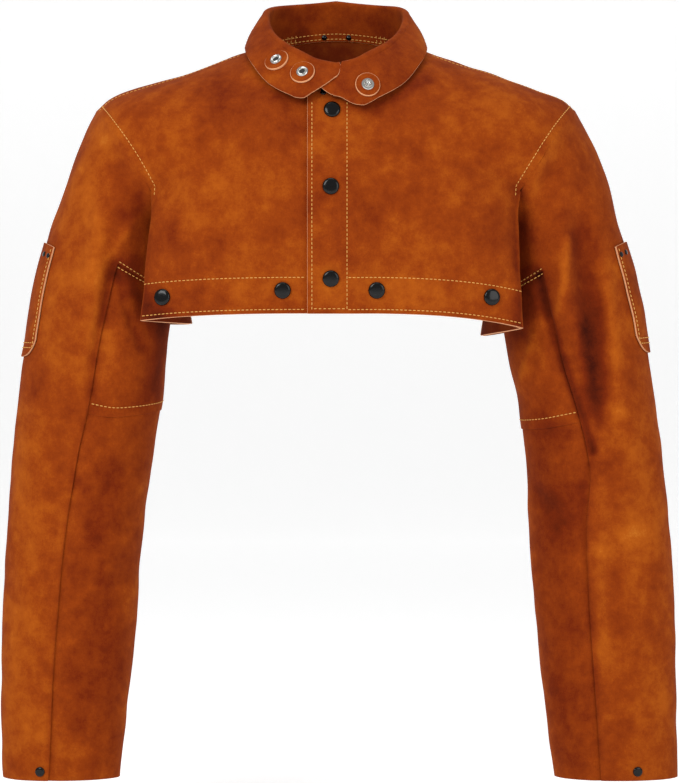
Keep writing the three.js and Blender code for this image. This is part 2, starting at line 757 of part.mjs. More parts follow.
// Adds the side under the arm to the last column of a body sheet
function wrapOnto(sheet, grid, rowsBelow, side, face, levels) {
  let before = grid.slice(0, rowsBelow).map((row) => row[row.length - 1]);
  for (let k = 1; k <= WRAP_COLUMNS; k += 1) {
    const turn = k / WRAP_COLUMNS;
    const column = [];
    for (let j = 0; j < rowsBelow; j += 1) {
      const point = wrapPoint(turn, levels[j], side, face);
      point.x *= side;
      let seam = k === WRAP_COLUMNS ? new THREE.Vector3(0, 1, 0) : null;
      if (j === rowsBelow - 1 && k < WRAP_COLUMNS) {
        seam = armholeAcross(mix(ARMHOLE_CORNER, 180, turn));
        seam.x *= side;
      }
      column.push(sheet.add(point, seam));
    }
    for (let j = 0; j < rowsBelow - 1; j += 1) {
      const forward = side > 0 === (face === "front");
      addQuad(sheet, forward, before[j], column[j], column[j + 1], before[j + 1]);
    }
    before = column;
  }
}

// The back in one piece, from side seam to side seam
function backSheet() {
  const sheet = new Sheet();
  const levels = bodyLevels();
  const shares = [...FRONT_COLUMNS.slice(1).reverse().map((share) => -share), ...FRONT_COLUMNS];
  const grid = levels.map((level) =>
    shares.map((share) => {
      const side = share < 0 ? -1 : 1;
      const edge = edgePoint(level, side, "back");
      const point = bodyPoint(share * edge.x, level, "back");
      const size = Math.abs(share);
      const onShoulder = level === 2 && size * SHOULDER_HALF >= NECK_HALF - 1;
      let seam = onShoulder ? new THREE.Vector3(0, 1, 0) : null;
      if (size === 1 && level >= 1 && level < 2) {
        seam = armholeAcross(ARMHOLE_CORNER * (2 - level));
        seam.x *= side;
      }
      return sheet.add(point, seam);
    }),
  );
  for (const side of [-1, 1]) {
    const rows = side < 0 ? grid.map((row) => [...row].reverse()) : grid;
    wrapOnto(sheet, rows, LOWER_ROWS.length, side, "back", levels);
  }
  for (let j = 0; j < levels.length - 1; j += 1) {
    for (let i = 0; i < shares.length - 1; i += 1) {
      addQuad(sheet, false, grid[j][i], grid[j][i + 1], grid[j + 1][i + 1], grid[j + 1][i]);
    }
  }
  return sheet;
}

// A whole sleeve as a tube of quads, with the columns following the two long seams
function sleeveSheet(table, folds, seams, lap) {
  const sheet = new Sheet();
  const ats = [...ROWS_ABOVE_LAP, lap, ...ROWS_BELOW_LAP];
  const columns = 2 * (OUTER_COLUMNS + INNER_COLUMNS);
  const kinds = [];
  const grid = ats.map((at) => {
    const seamAngle = along(seams, at, "at", "angle");
    return Array.from({ length: columns }, (_, i) => {
      const front = i <= columns / 2;
      const n = front ? i : columns - i;
      const past = Math.max(0, n - OUTER_COLUMNS) / INNER_COLUMNS;
      const before = Math.min(n, OUTER_COLUMNS) / OUTER_COLUMNS;
      const angle = seamAngle * before + (180 - seamAngle) * past;
      const seam = at === 0 ? armholeAcross(angle) : null;
      return sheet.add(sleevePoint(table, folds, front ? angle : 360 - angle, at), seam);
    });
  });
  for (let j = 0; j < ats.length - 1; j += 1) {
    for (let i = 0; i < columns; i += 1) {
      const next = (i + 1) % columns;
      sheet.quad(grid[j][i], grid[j][next], grid[j + 1][next], grid[j + 1][i]);
      const inner = i >= OUTER_COLUMNS && i < OUTER_COLUMNS + 2 * INNER_COLUMNS;
      const middle = (ats[j] + ats[j + 1]) / 2;
      if (!inner || middle < GUSSET_TOP) {
        kinds.push("outer");
      } else {
        kinds.push(middle < lap ? "gusset" : "forearm");
      }
    }
  }
  return { sheet, kinds };
}

// Pocket patch on the outside of the upper arm
function pocketSheet(table, folds) {
  const sheet = new Sheet();
  const grid = [];
  for (let j = 0; j <= POCKET_CELLS; j += 1) {
    const line = [];
    for (let i = 0; i <= POCKET_CELLS; i += 1) {
      const across = (2 * i) / POCKET_CELLS - 1;
      const angle = POCKET_HALF_ANGLE * across;
      const low = POCKET_TO - POCKET_CORNER * across ** 6;
      const at = mix(POCKET_FROM, low, j / POCKET_CELLS);
      const centre = sleevePoint(table, folds, angle, at);
      const ring = sleevePoint(table, folds, angle + 3, at).sub(sleevePoint(table, folds, angle - 3, at));
      const down = sleevePoint(table, folds, angle, at + 0.01).sub(sleevePoint(table, folds, angle, at - 0.01));
      const normal = ring.cross(down).normalize();
      line.push(sheet.add(centre.addScaledVector(normal, POCKET_LIFT)));
    }
    grid.push(line);
  }
  for (let j = 0; j < POCKET_CELLS; j += 1) {
    for (let i = 0; i < POCKET_CELLS; i += 1) {
      sheet.quad(grid[j][i], grid[j][i + 1], grid[j + 1][i + 1], grid[j + 1][i]);
    }
  }
  return sheet;
}

// The collar strip: rows over the stand, the roll and the fall, ends cut to the tables
function collarSheet() {
  const sheet = new Sheet();
  const grid = COLLAR_ROWS.map((row) => {
    const start = row.right_end;
    const end = 360 - row.left_end;
    return Array.from({ length: COLLAR_STEPS + 1 }, (_, i) => {
      const t = i / COLLAR_STEPS;
      const angle = mix(start, end, t);
      const tab = 2 * i < COLLAR_STEPS ? "right" : "left";
      return sheet.add(collarPoint(angle, { ...row, tab }));
    });
  });
  for (let j = 0; j < grid.length - 1; j += 1) {
    for (let i = 0; i < COLLAR_STEPS; i += 1) {
      sheet.quad(grid[j][i], grid[j + 1][i], grid[j + 1][i + 1], grid[j][i + 1]);
    }
  }
  return sheet;
}

// Height at which a round part sits clear of the leather below it
function seated(frame, radius, ground) {
  const down = frame.normal.clone().negate();
  const side = new THREE.Vector3(0, 0, 1).cross(frame.normal).normalize();
  const above = frame.normal.clone().cross(side);
  const caster = new THREE.Raycaster();
  const reach = 25;
  let height = -reach;
  for (let i = 0; i <= LATHE_SIDES; i += 1) {
    const r = i === LATHE_SIDES ? 0 : radius;
    const turn = (i / LATHE_SIDES) * 2 * Math.PI;
    const from = frame.centre.clone().addScaledVector(side, r * Math.cos(turn));
    from.addScaledVector(above, r * Math.sin(turn)).addScaledVector(frame.normal, reach);
    caster.set(from, down);
    const hit = caster.intersectObject(ground, false)[0];
    if (hit) {
      height = Math.max(height, reach - hit.distance);
    }
  }
  return frame.centre.clone().addScaledVector(frame.normal, height + SIT);
}

// Turned metal

function turned(profile, name, material, centre, normal) {
  const points = profile.map(([r, h]) => new THREE.Vector2(r, h));
  const geometry = new THREE.LatheGeometry(points, LATHE_SIDES);
  const mesh = new THREE.Mesh(geometry, material);
  mesh.name = name;
  mesh.quaternion.setFromUnitVectors(new THREE.Vector3(0, 1, 0), normal);
  mesh.position.copy(centre);
  return mesh;
}

function rivetProfile(radius, height, flat) {
  return [
    [0, 0],
    [radius, 0],
    [radius, height * 0.4],
    [flat, height],
    [0, height],
  ];
}

function capProfile(radius, height, flat) {
  const edge = height * 0.35;
  return [
    [0, 0],
    [radius, 0],
    [radius, edge],
    [mix(flat, radius, 0.6), height * 0.85],
    [flat, height],
    [0, height],
  ];
}

function ringProfile(radius, hole, height) {
  return [
    [hole, 0],
    [radius, 0],
    [radius, height * 0.4],
    [mix(hole, radius, 0.55), height],
    [hole, height * 0.6],
    [hole, 0],
  ];
}

function buildCape() {
  const cape = new THREE.Group();
  cape.name = "welding_cape";
  const suede = () => leather(0xa34c14);
  const black = () => metal(0x121112, 0.3);
  const silver = () => metal(0xb9bab8, 0.3);

  const right = frontSheet(-1, [PLACKET_UNDER], false);
  const left = frontSheet(1, [PLACKET_OVER, PLACKET_OVER * 0.8, PLACKET_OVER * 0.4], true);
  const back = backSheet();
  const rightFront = right.solid(LEATHER, "front_panel_right", suede());
  const leftFront = left.solid(LEATHER, "front_panel_left", suede());
  cape.add(rightFront);
  cape.add(leftFront);
  cape.add(back.solid(LEATHER, "back_panel", suede()));

  const facing = placketFacingSheet();
  cape.add(facing.solid(FACING, "placket_facing", suede()));

  const inside = -(LEATHER + FACING_GAP);
  cape.add(hemFacing(right, inside, (x) => x < -PLACKET_UNDER).solid(FACING, "hem_facing_right", suede()));
  const beside = PLACKET_FACING - PLACKET_OVER + 1;
  cape.add(hemFacing(left, inside, (x) => x > beside).solid(FACING, "hem_facing_left", suede()));
  cape.add(hemFacing(back, -(LEATHER + FACING_GAP_BACK), () => true).solid(FACING, "hem_facing_back", suede()));

  const collar = collarSheet();
  const collarMesh = collar.solid(LEATHER, "collar", suede());
  cape.add(collarMesh);
  for (const snap of COLLAR_SNAPS) {
    const tab = snap.angle > 0 ? "right" : "left";
    const frame = collarFrame(snap.angle, snap.down, tab);
    const patchAt = seated(frame, PATCH_RADIUS, collarMesh);
    const patch = [[0, 0], [PATCH_RADIUS, 0], [PATCH_RADIUS, PATCH_THICK], [0, PATCH_THICK]];
    cape.add(turned(patch, snap.patch, suede(), patchAt, frame.normal));
    const partAt = patchAt.clone().addScaledVector(frame.normal, PATCH_THICK + LAYER_GAP);
    const isStud = snap.part === "collar_stud";
    const ring = ringProfile(EYELET_RADIUS, EYELET_HOLE, EYELET_HEIGHT);
    const profile = isStud ? capProfile(STUD_RADIUS, STUD_HEIGHT, STUD_FLAT) : ring;
    cape.add(turned(profile, snap.part, silver(), partAt, frame.normal));
  }

  for (const snap of PLACKET_SNAPS) {
    const frame = bodyFrame(snap.out, -snap.down, "front");
    const centre = seated(frame, SNAP_RADIUS, leftFront);
    cape.add(turned(capProfile(SNAP_RADIUS, SNAP_HEIGHT, SNAP_FLAT), snap.name, black(), centre, frame.normal));
  }
  const topFrame = bodyFrame(TOP_SNAP.out, -TOP_SNAP.down, "front");
  const topCentre = seated(topFrame, TOP_SNAP.radius, leftFront);
  const topProfile = rivetProfile(TOP_SNAP.radius, TOP_SNAP.height, TOP_SNAP.flat);
  cape.add(turned(topProfile, "placket_top_snap", black(), topCentre, topFrame.normal));
  for (const snap of HEM_SNAPS) {
    const frame = bodyFrame(snap.out, -snap.down, "front");
    const centre = seated(frame, SNAP_RADIUS, snap.out > 0 ? leftFront : rightFront);
    cape.add(turned(capProfile(SNAP_RADIUS, SNAP_HEIGHT, SNAP_FLAT), snap.name, black(), centre, frame.normal));
  }
  for (const rivet of NECK_RIVETS) {
    const frame = standFrame(rivet.angle);
    const centre = seated(frame, RIVET_RADIUS, collarMesh);
    const profile = rivetProfile(RIVET_RADIUS, RIVET_HEIGHT, RIVET_FLAT);
    cape.add(turned(profile, rivet.name, black(), centre, frame.normal));
  }

  for (const side of ["right", "left"]) {
    const table = side === "right" ? SLEEVE_RIGHT : SLEEVE_LEFT;
    const folds = side === "right" ? FOLDS_RIGHT : FOLDS_LEFT;
    const sign = side === "right" ? -1 : 1;
    const lap = side === "right" ? LAP_SEAM_RIGHT : LAP_SEAM_LEFT;
    const seams = side === "right" ? SEAM_RIGHT : SEAM_LEFT;
    const { sheet, kinds } = sleeveSheet(table, folds, seams, lap);
    const meshes = {};
    for (const kind of ["outer", "gusset", "forearm"]) {
      const part = sheet.piece((n) => kinds[n] === kind);
      if (sign < 0) {
        part.mirror();
        part.fixed.forEach((normal) => normal.setX(-normal.x));
      }
      meshes[kind] = part.solid(LEATHER, `sleeve_${kind}_${side}`, suede());
      cape.add(meshes[kind]);
    }
    const pocket = pocketSheet(table, folds);
    if (sign < 0) {
      pocket.mirror();
    }
    const pocketMesh = pocket.solid(LEATHER, `sleeve_pocket_${side}`, suede());
    cape.add(pocketMesh);
    const cuff = sleeveFrame(table, folds, CUFF_SNAP.angle, CUFF_SNAP.at, sign);
    const cuffAt = seated(cuff, CUFF_SNAP_RADIUS, meshes.outer);
    const cuffCap = rivetProfile(CUFF_SNAP_RADIUS, CUFF_SNAP_HEIGHT, CUFF_SNAP_FLAT);
    cape.add(turned(cuffCap, `cuff_snap_${side}`, black(), cuffAt, cuff.normal));
    for (const rivet of POCKET_RIVETS) {
      const frame = sleeveFrame(table, folds, POCKET_HALF_ANGLE - rivet.in, POCKET_RIVET_AT, sign);
      const centre = seated(frame, RIVET_RADIUS, pocketMesh);
      const profile = rivetProfile(RIVET_RADIUS, RIVET_HEIGHT, RIVET_FLAT);
      cape.add(turned(profile, `pocket_rivet_${side}_${rivet.name}`, black(), centre, frame.normal));
    }
  }
  return cape;
}

function sleeveFrame(table, folds, angle, at, sign) {
  const centre = sleevePoint(table, folds, angle, at);
  const ring = sleevePoint(table, folds, angle + 3, at).sub(sleevePoint(table, folds, angle - 3, at));
  const down = sleevePoint(table, folds, angle, at + 0.01).sub(sleevePoint(table, folds, angle, at - 0.01));
  const normal = ring.cross(down).normalize();
  centre.x *= sign;
  normal.x *= sign;
  return { centre, normal };
}

function collarFrame(angle, down, tab) {
  const row = { layer: "fall", down, tab };
  const centre = collarPoint(angle, row);
  const across = collarPoint(angle + 3, row).sub(collarPoint(angle - 3, row));
  const below = collarPoint(angle, { ...row, down: down + 0.04 });
  const lower = below.sub(collarPoint(angle, { ...row, down: down - 0.04 }));
  const normal = across.cross(lower).normalize();
  return { centre, normal };
}

function standFrame(angle) {
  const row = { layer: "stand", down: NECK_RIVET_DOWN, tab: "left" };
  const centre = collarPoint(angle, row);
  return { centre, normal: collarAway(angle).negate() };
}

// Second layer behind the lapped edge
function placketFacingSheet() {
  const sheet = new Sheet();
  const outs = [PLACKET_OVER, PLACKET_OVER * 0.8, PLACKET_OVER * 0.4, 0, PLACKET_OVER - PLACKET_FACING];
  const lift = placketLift(-PLACKET_OVER) - LEATHER - LAYER_GAP;
  const grid = bodyLevels().map((level) =>
    outs.map((out) => {
      const point = bodyPoint(-out, level, "front");
      liftOnto(point, -out, level, lift);
      return sheet.add(point);
    }),
  );
  for (let j = 0; j < grid.length - 1; j += 1) {
    for (let i = 0; i < outs.length - 1; i += 1) {
      sheet.quad(grid[j][i], grid[j][i + 1], grid[j + 1][i + 1], grid[j + 1][i]);
    }
  }
  return sheet;
}

// Strip along the inside of the hem, made of the two lowest rows of a panel
function hemFacing(panel, shift, wanted) {
  const top = -HEM_DOWN + HEM_BAND * 1.25;
  return panel.piece((n) => {
    const corners = panel.quads[n].map((i) => panel.points[i]);
    const low = corners.every((point) => point.z < top);
    return low && corners.every((point) => wanted(point.x));
  }, shift);
}

export default buildCape();
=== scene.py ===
"""Welding cape with sleeves: the finished look, built over the CAD frame.

Sizes are in millimetres and meshes in metres.
"""

import logging
import math
from dataclasses import dataclass, field
from enum import Enum
from typing import Callable, Sequence

import bpy
import numpy as np
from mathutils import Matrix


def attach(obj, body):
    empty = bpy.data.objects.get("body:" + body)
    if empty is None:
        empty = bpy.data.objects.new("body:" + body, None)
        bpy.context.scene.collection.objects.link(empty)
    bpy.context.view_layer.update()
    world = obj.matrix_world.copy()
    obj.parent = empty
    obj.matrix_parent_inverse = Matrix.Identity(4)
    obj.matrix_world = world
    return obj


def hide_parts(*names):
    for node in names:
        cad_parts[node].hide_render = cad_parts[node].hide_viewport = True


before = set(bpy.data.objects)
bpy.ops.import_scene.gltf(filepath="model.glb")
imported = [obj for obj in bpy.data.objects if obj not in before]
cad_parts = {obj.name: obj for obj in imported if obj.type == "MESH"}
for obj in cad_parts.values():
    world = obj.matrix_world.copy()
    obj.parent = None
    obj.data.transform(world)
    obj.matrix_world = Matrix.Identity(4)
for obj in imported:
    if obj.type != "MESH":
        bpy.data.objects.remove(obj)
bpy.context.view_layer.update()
LOG = logging.getLogger("cape")
logging.basicConfig(level=logging.INFO, format="%(message)s")
MM = 0.001
# Unevenness of the hide: its root-mean-square height and seed on body and sleeves, and on the collar
RELIEF, RELIEF_SEED = 0.55, 3
COLLAR_RELIEF, COLLAR_SEED = 0.3, 9
# Shortest and longest wave of that unevenness, and the number of waves added up
WAVE_SHORT, WAVE_LONG, WAVES = 26.0, 150.0, 22
Array = np.ndarray
Cut = Callable[[Array], Array]


class Face(Enum):
    """The two halves of the body."""

    FRONT = "front"
    BACK = "back"


class Part(Enum):
    """Material slots of a leather sheet."""

    SUEDE = 0
    FLESH = 1
    CUT = 2


# Curves and noise


def smooth(low: float | Array, high: float | Array, x: Array) -> Array:
    """Smooth step from 0 at low to 1 at high: 3t^2 - 2t^3.

    Args:
        low: where the step starts.
        high: where it ends.
        x: places.
    Returns:
        The step at each place.
    """
    t = np.clip((x - low) / (high - low), 0.0, 1.0)
    return t * t * (3.0 - 2.0 * t)


def along(keys: Sequence[float], values: Sequence[float], x: Array) -> Array:
    """Cubic Hermite curve through a table's rows, with slopes taken from the neighbouring rows.

    Args:
        keys: places of the rows, rising.
        values: the column read.
        x: places to read at.
    Returns:
        The column at each place.
    """
    k = np.asarray(keys, float)
    v = np.asarray(values, float)
    x = np.clip(np.asarray(x, float), k[0], k[-1])
    i = np.clip(np.searchsorted(k, x, side="left") - 1, 0, len(k) - 2)
    a, b = np.maximum(i - 1, 0), np.minimum(i + 2, len(k) - 1)
    step = k[i + 1] - k[i]
    t = (x - k[i]) / step
    m0 = (v[i + 1] - v[a]) / (k[i + 1] - k[a]) * step
    m1 = (v[b] - v[i]) / (k[b] - k[i]) * step
    t2, t3 = t * t, t * t * t
    start, end = v[i] * (2 * t3 - 3 * t2 + 1), v[i + 1] * (3 * t2 - 2 * t3)
    return start + m0 * (t3 - 2 * t2 + t) + end + m1 * (t3 - t2)


def arch(q: Array) -> Array:
    """Quarter-round profile, sqrt(1 - (1 - q)^2), from 0 at 0 to 1 at 1.

    Args:
        q: share of the turn, 0 to 1.
    Returns:
        The profile at each share.
    """
    return np.sqrt(1.0 - (1.0 - np.clip(q, 0.0, 1.0)) ** 2)


def relief(points: Array, height: float, short: float, long: float, seed: int) -> Array:
    """Soft unevenness of a hide: a sum of sine waves in random directions, the long ones higher.

    Args:
        points: (..., 3) places in millimetres.
        height: root-mean-square height.
        short: shortest wavelength.
        long: longest wavelength.
        seed: seed of the random directions and phases.
    Returns:
        Height at each place.
    """
    rng = np.random.default_rng(seed)
    length = short * (long / short) ** rng.random(WAVES)
    direction = rng.normal(size=(WAVES, 3))
    direction /= np.linalg.norm(direction, axis=1, keepdims=True)
    phase = rng.random(WAVES) * 2 * np.pi
    size = (length / long) ** 0.8
    size *= height * math.sqrt(2.0) / math.sqrt(float((size**2).sum()))
    turned = points @ (direction * (2 * np.pi / length)[:, None]).T
    return (np.sin(turned + phase) * size).sum(axis=-1)


@dataclass(frozen=True)
class Crease:
    """A fold seen from the front: path (out, up), spread, rise, and the painted shade (below 0) or painted
    highlight (above 0) put into the colour along it.
    """

    path: tuple[tuple[float, float], ...]
    spread: float
    rise: float
    # Painted shade below 0, painted highlight above 0, added to the colour
    tone: float

    def weight(self, places: Array) -> Array:
        """Bell curve of the distance to the path, exp(-(distance / spread)^2).

        Args:
            places: (n, 2) distances from the middle and heights.
        Returns:
            Weight from 0 to 1 at each place.
        """
        path = np.array(self.path)
        start, step = path[:-1], np.diff(path, axis=0)
        away = places[:, None, :] - start
        t = np.clip((away * step).sum(-1) / (step * step).sum(-1), 0, 1)
        gap = np.linalg.norm(away - t[..., None] * step, axis=-1).min(axis=1)
        return np.exp(-((gap / self.spread) ** 2))


CREASES = (
    # Folds of the wearer's right sleeve, with painted shade in their valleys and painted highlight on their
    # ridges
    Crease(
        ((-207, -194), (-211, -210), (-215, -231), (-219, -246), (-225, -286), (-228, -315)),
        4.7,
        -2.4,
        -0.41
    ),
    Crease(((-219, -148), (-223, -202), (-227, -272)), 8.4, 2.2, 0.28),
    Crease(((-185, -136), (-186, -196)), 10.5, -2, -0.34),
    Crease(((-198, -202), (-170, -246)), 12, -0.8, -0.72),
    Crease(((-205, -206), (-196, -239), (-181, -274)), 4.7, -1.8, -0.27),
    Crease(((-214, -267), (-188, -297)), 8.4, 1.2, 0.14),
    Crease(((-188, -157), (-209, -191)), 5.6, 1.8, 0.28),
    Crease(((-161, -253), (-165, -318)), 9.4, 0, -0.68),
    Crease(((-199, -212), (-190, -250), (-186, -325)), 20, 0, -0.17),
    Crease(((-212, -351), (-223, -640)), 29.8, 0, -0.22),
    Crease(((-289, -351), (-294, -602)), 20.6, 0, 0.25),
    Crease(
        ((-230, -334), (-241, -364), (-251, -431), (-259, -513), (-267, -607), (-268, -674)),
        3.7,
        -1.6,
        -0.14
    ),
    Crease(((-252, -416), (-261, -513), (-268, -593)), 6.5, 1.3, 0.18),
    Crease(((-217, -67), (-240, -132), (-262, -230)), 20, 0.6, 0.24),
    Crease(((-294, -340), (-265, -371)), 7.4, -1.4, -0.1),
    Crease(((-199, -386), (-227, -437)), 9.3, -1.8, -0.1),
    Crease(((-194, -472), (-224, -547)), 11.2, -1.4, -0.06),
    Crease(((-300, -472), (-281, -547)), 8.4, 1.2, 0.05),
    # Folds of the wearer's left sleeve, with painted shade in their valleys and painted highlight on their
    # ridges
    Crease(((230, -168), (234, -196), (237, -230), (239, -276), (242, -328)), 13.5, -4.5, -0.48),
    Crease(((240, -256), (242, -300), (243, -332)), 12.5, 0, -0.5),
    Crease(((227, -109), (231, -150)), 11.2, -1.5, -0.08),
    Crease(((215, -174), (213, -205), (209, -241)), 5.6, 2.6, 0.4),
    Crease(
        ((188, -205), (200, -249), (212, -287), (221, -312), (232, -346), (240, -370)), 4.2, -2.6, -0.65
    ),
    Crease(((185, -262), (177, -295), (171, -314)), 4.2, 1.5, 0.22),
    Crease(((191, -99), (180, -141)), 5.6, 1.8, 0.26),
    Crease(((175, -136), (175, -196)), 11, -2, -0.34),
    Crease(((184, -208), (172, -256)), 12.6, -0.8, -0.72),
    Crease(((248, -321), (249, -345), (240, -370)), 4.2, -1.4, -0.16),
    Crease(((240, -370), (229, -412), (234, -481), (242, -568), (247, -661)), 3.7, -1.6, -0.14),
    Crease(((249, -397), (246, -481), (253, -568)), 7.4, 1.3, 0.18),
    Crease(((201, -360), (216, -640)), 29.8, 0, -0.32),
    Crease(((276, -369), (297, -640)), 20.5, 0, 0.1),
    Crease(((254, -216), (258, -267), (263, -332)), 8.4, 2.2, 0.3),
    Crease(((205, -76), (225, -132)), 13, 0.6, 0.2),
    Crease(((173, -396), (211, -437)), 9.3, -1.8, -0.08),
    Crease(((190, -472), (220, -547)), 11.2, -1.4, -0.05),
    Crease(((198, -272), (214, -325)), 7.4, 0.5, -0.12),
    # Folds of the body and the collar, with painted shade and painted highlight along them, such as the
    # painted shade under the collar
    Crease(((-78, -40), (-34, -49)), 6.5, 0, -0.16),
    Crease(((11, -54), (41, -54), (84, -27)), 6.5, 0, -0.27),
    Crease(((-180, -132), (-182, -202)), 8.4, -0.8, -0.08),
    Crease(((168, -123), (171, -197)), 8.4, -0.8, -0.1),
    Crease(((-155, -81), (-127, -164)), 22.3, 1.2, 0.04),
    Crease(((88, -71), (134, -169)), 22.3, 1.2, -0.06),
    Crease(((-150, -224), (-20, -221), (140, -224)), 17, 0, 0.2),
    Crease(((62, 22), (69, -6)), 18.6, 0, -0.2),
    Crease(((-34, 29), (36, 29)), 24.2, 0, -0.41),
    Crease(((46, -15), (13, -29)), 16.7, 0, -0.08),
)


def creased(points: Array, normals: Array) -> tuple[Array, Array]:
    """Rise of all folds and their painted shade and highlight, felt only by leather that faces the front.

    Args:
        points: (n, 3) places in millimetres.
        normals: (n, 3) outward normals.
    Returns:
        Rise in millimetres and painted shade (below 0) or painted highlight (above 0) at each place.
    """
    faces = smooth(0.05, 0.6, -normals[:, 1])
    places = points[:, [0, 2]]
    rise, tone = np.zeros(len(points)), np.zeros(len(points))
    for crease in CREASES:
        weight = crease.weight(places) * faces
        rise += weight * crease.rise
        tone += weight * crease.tone
    return rise, tone


def hide(points: Array, normals: Array, height: float, seed: int) -> tuple[Array, Array]:
    """Height of the leather's face over the smooth surface, and the painted shade and highlight of its folds:
    relief plus folds.

    Args:
        points: (n, 3) places in millimetres.
        normals: (n, 3) outward normals.
        height: root-mean-square relief in millimetres.
        seed: seed of the relief.
    Returns:
        Height in millimetres and painted shade or highlight at each place.
    """
    rise, tone = creased(points, normals)
    bump = relief(points, height, WAVE_SHORT, WAVE_LONG, seed) if height else np.zeros(len(points))
    return bump + rise, tone


# The shape of the cape


@dataclass(frozen=True)
class BodyShape:
    """Body of the cape: two curved sheets that meet along the shoulders and under the arms."""

    leather: float = 1.8
    shoulder_half: float = 227.0
    shoulder_tip_up: float = -49.0
    neck_half: float = 76.0
    neck_side_up: float = 10.0
    neck_front_drop: float = 42.0
    neck_back_rise: float = 15.0
    neck_back_arch: float = 35.0
    ridge_keys: tuple[float, ...] = (0.0, 0.19, 0.49, 0.755, 0.915, 1.0)
    ridge_falls: tuple[float, ...] = (0.0, 0.17, 0.43, 0.66, 0.82, 1.0)
    hem_down: float = 243.0
    back_hem_down: float = 231.0
    hem_half: tuple[float, float] = (183.0, 174.0)
    hem_dip: tuple[float, float] = (6.0, 13.0)
    depth: float = 104.0
    corner_share: float = 0.8
    side_seam_half: float = 141.0
    side_seam_down: tuple[float, float] = (251.0, 262.0)
    flatness: float = 4.5
    depth_keys: tuple[float, ...] = (0.0, 0.45, 0.8, 1.3)
    depth_front: tuple[float, ...] = (0.94, 1.0, 0.97, 0.88)
    depth_back: tuple[float, ...] = (0.9, 1.0, 0.98, 0.8)
    arm_bottom_half: float = 158.0
    arm_bottom_down: float = 160.0
    arm_front: float = 76.0
    arm_back: float = 78.0
    arm_bow: float = 5.5
    arm_corner: float = 118.0
    placket_over: float = 26.0
    placket_width: float = 36.0
    placket_ease: float = 34.0
    corner_cut: float = 15.0
    neck_front_lean: float = 0.2
    arch_front: float = 2.0
    arch_back: float = 1.62
    wrap_ahead: float = 5.0
    wrap_near: float = 0.72
    wrap_far: float = 0.5
    facing: float = 1.6
    layer_gap: float = 0.4

    def ridge_up(self, out: Array, face: Face) -> Array:
        """Height of the shoulder ridge and of the arch behind the neck edge.

        Args:
            out: distances from the middle in millimetres, + to the wearer's left.
            face: front or back.
        Returns:
            Height at each place.
        """
        x = np.abs(out)
        share = np.clip((x - self.neck_half) / (self.shoulder_half - self.neck_half), 0, 1)
        ridge = self.neck_side_up - (
            self.neck_side_up - self.shoulder_tip_up
        ) * along(self.ridge_keys, self.ridge_falls, share)
        inside = 1 - (x / self.neck_half) ** 2
        if face is Face.FRONT:
            near = self.neck_side_up + (self.neck_half - x) * self.neck_front_lean
        else:
            near = self.neck_side_up + (self.neck_back_rise + self.neck_back_arch) * inside
        return np.where(x >= self.neck_half, ridge, near)

    def neck_up(self, out: Array, face: Face) -> Array:
        """Height of the neck edge, a parabola over the neck's width.

        Args:
            out: distances from the middle in millimetres, + to the wearer's left.
            face: front or back.
        Returns:
            Height at each place.
        """
        inside = 1 - (out / self.neck_half) ** 2
        change = -self.neck_front_drop if face is Face.FRONT else self.neck_back_rise
        return self.neck_side_up + change * inside

    def arch_height(self, out: Array, face: Face) -> Array:
        """How far below the ridge the sheet has turned upright.

        Args:
            out: distances from the middle in millimetres, + to the wearer's left.
            face: front or back.
        Returns:
            Depth below the ridge.
        """
        half_up = (self.shoulder_tip_up + self.arm_bottom_down) / 2
        middle = (self.arch_front if face is Face.FRONT else self.arch_back) * half_up
        return middle + (half_up - middle) * np.abs(out) / self.shoulder_half

    def armhole(self, angle: Array, face: Face) -> Array:
        """Point on the armhole ring: an upright ellipse bowed towards the neck, 0 degrees at the shoulder
        tip.

        Args:
            angle: degrees round the ring.
            face: front or back.
        Returns:
            (..., 3) points.
        """
        c, s = np.cos(np.radians(angle)), np.sin(np.radians(angle))
        half_out = (self.shoulder_half - self.arm_bottom_half) / 2
        half_up = (self.shoulder_tip_up + self.arm_bottom_down) / 2
        length = math.hypot(half_out, half_up)
        bow = self.arm_bow * s * s
        deep = -self.arm_front if face is Face.FRONT else self.arm_back
        x = self.arm_bottom_half + half_out + half_out * c - bow * half_up / length
        z = -self.arm_bottom_down + half_up + half_up * c + bow * half_out / length
        return np.stack([x, deep * s, z], axis=-1)

    def hem_up(self, share: Array, side: Array, face: Face) -> Array:
        """Height of the hem, falling towards the side with the cube of the share.

        Args:
            share: share of the way from the middle to the side.
            side: -1 for the wearer's right, 1 for the left.
            face: front or back.
        Returns:
            Height at each share.
        """
        dip = np.where(side < 0, self.hem_dip[0], self.hem_dip[1])
        if face is Face.FRONT:
            return -self.hem_down - dip * share**3
        return -self.back_hem_down + (self.back_hem_down - self.hem_down - dip) * share**3

    def edge(self, level: Array, side: Array, face: Face) -> Array:
        """Edge line: level 0..1 up the side fold, 1..2 up the armhole to the shoulder tip.

        Args:
            level: 0 at the hem, 1 at the armhole's corner, 2 at the shoulder tip.
            side: -1 for the wearer's right, 1 for the left.
            face: front or back.
        Returns:
            (..., 3) points.
        """
        corner = self.armhole(np.array(self.arm_corner), face)
        deep = self.corner_share * self.depth * (-1 if face is Face.FRONT else 1)
        half = np.where(side < 0, self.hem_half[0], self.hem_half[1])
        low = np.stack(
            [half, np.full(half.shape, deep), self.hem_up(np.ones(half.shape), side, face)], axis=-1
        )
        t = np.clip(level, 0, 1)[..., None]
        fold = low + (corner - low) * t
        arm = self.armhole(self.arm_corner * (2 - np.clip(level, 1, 2)), face)
        return np.where(level[..., None] > 1, arm, fold)

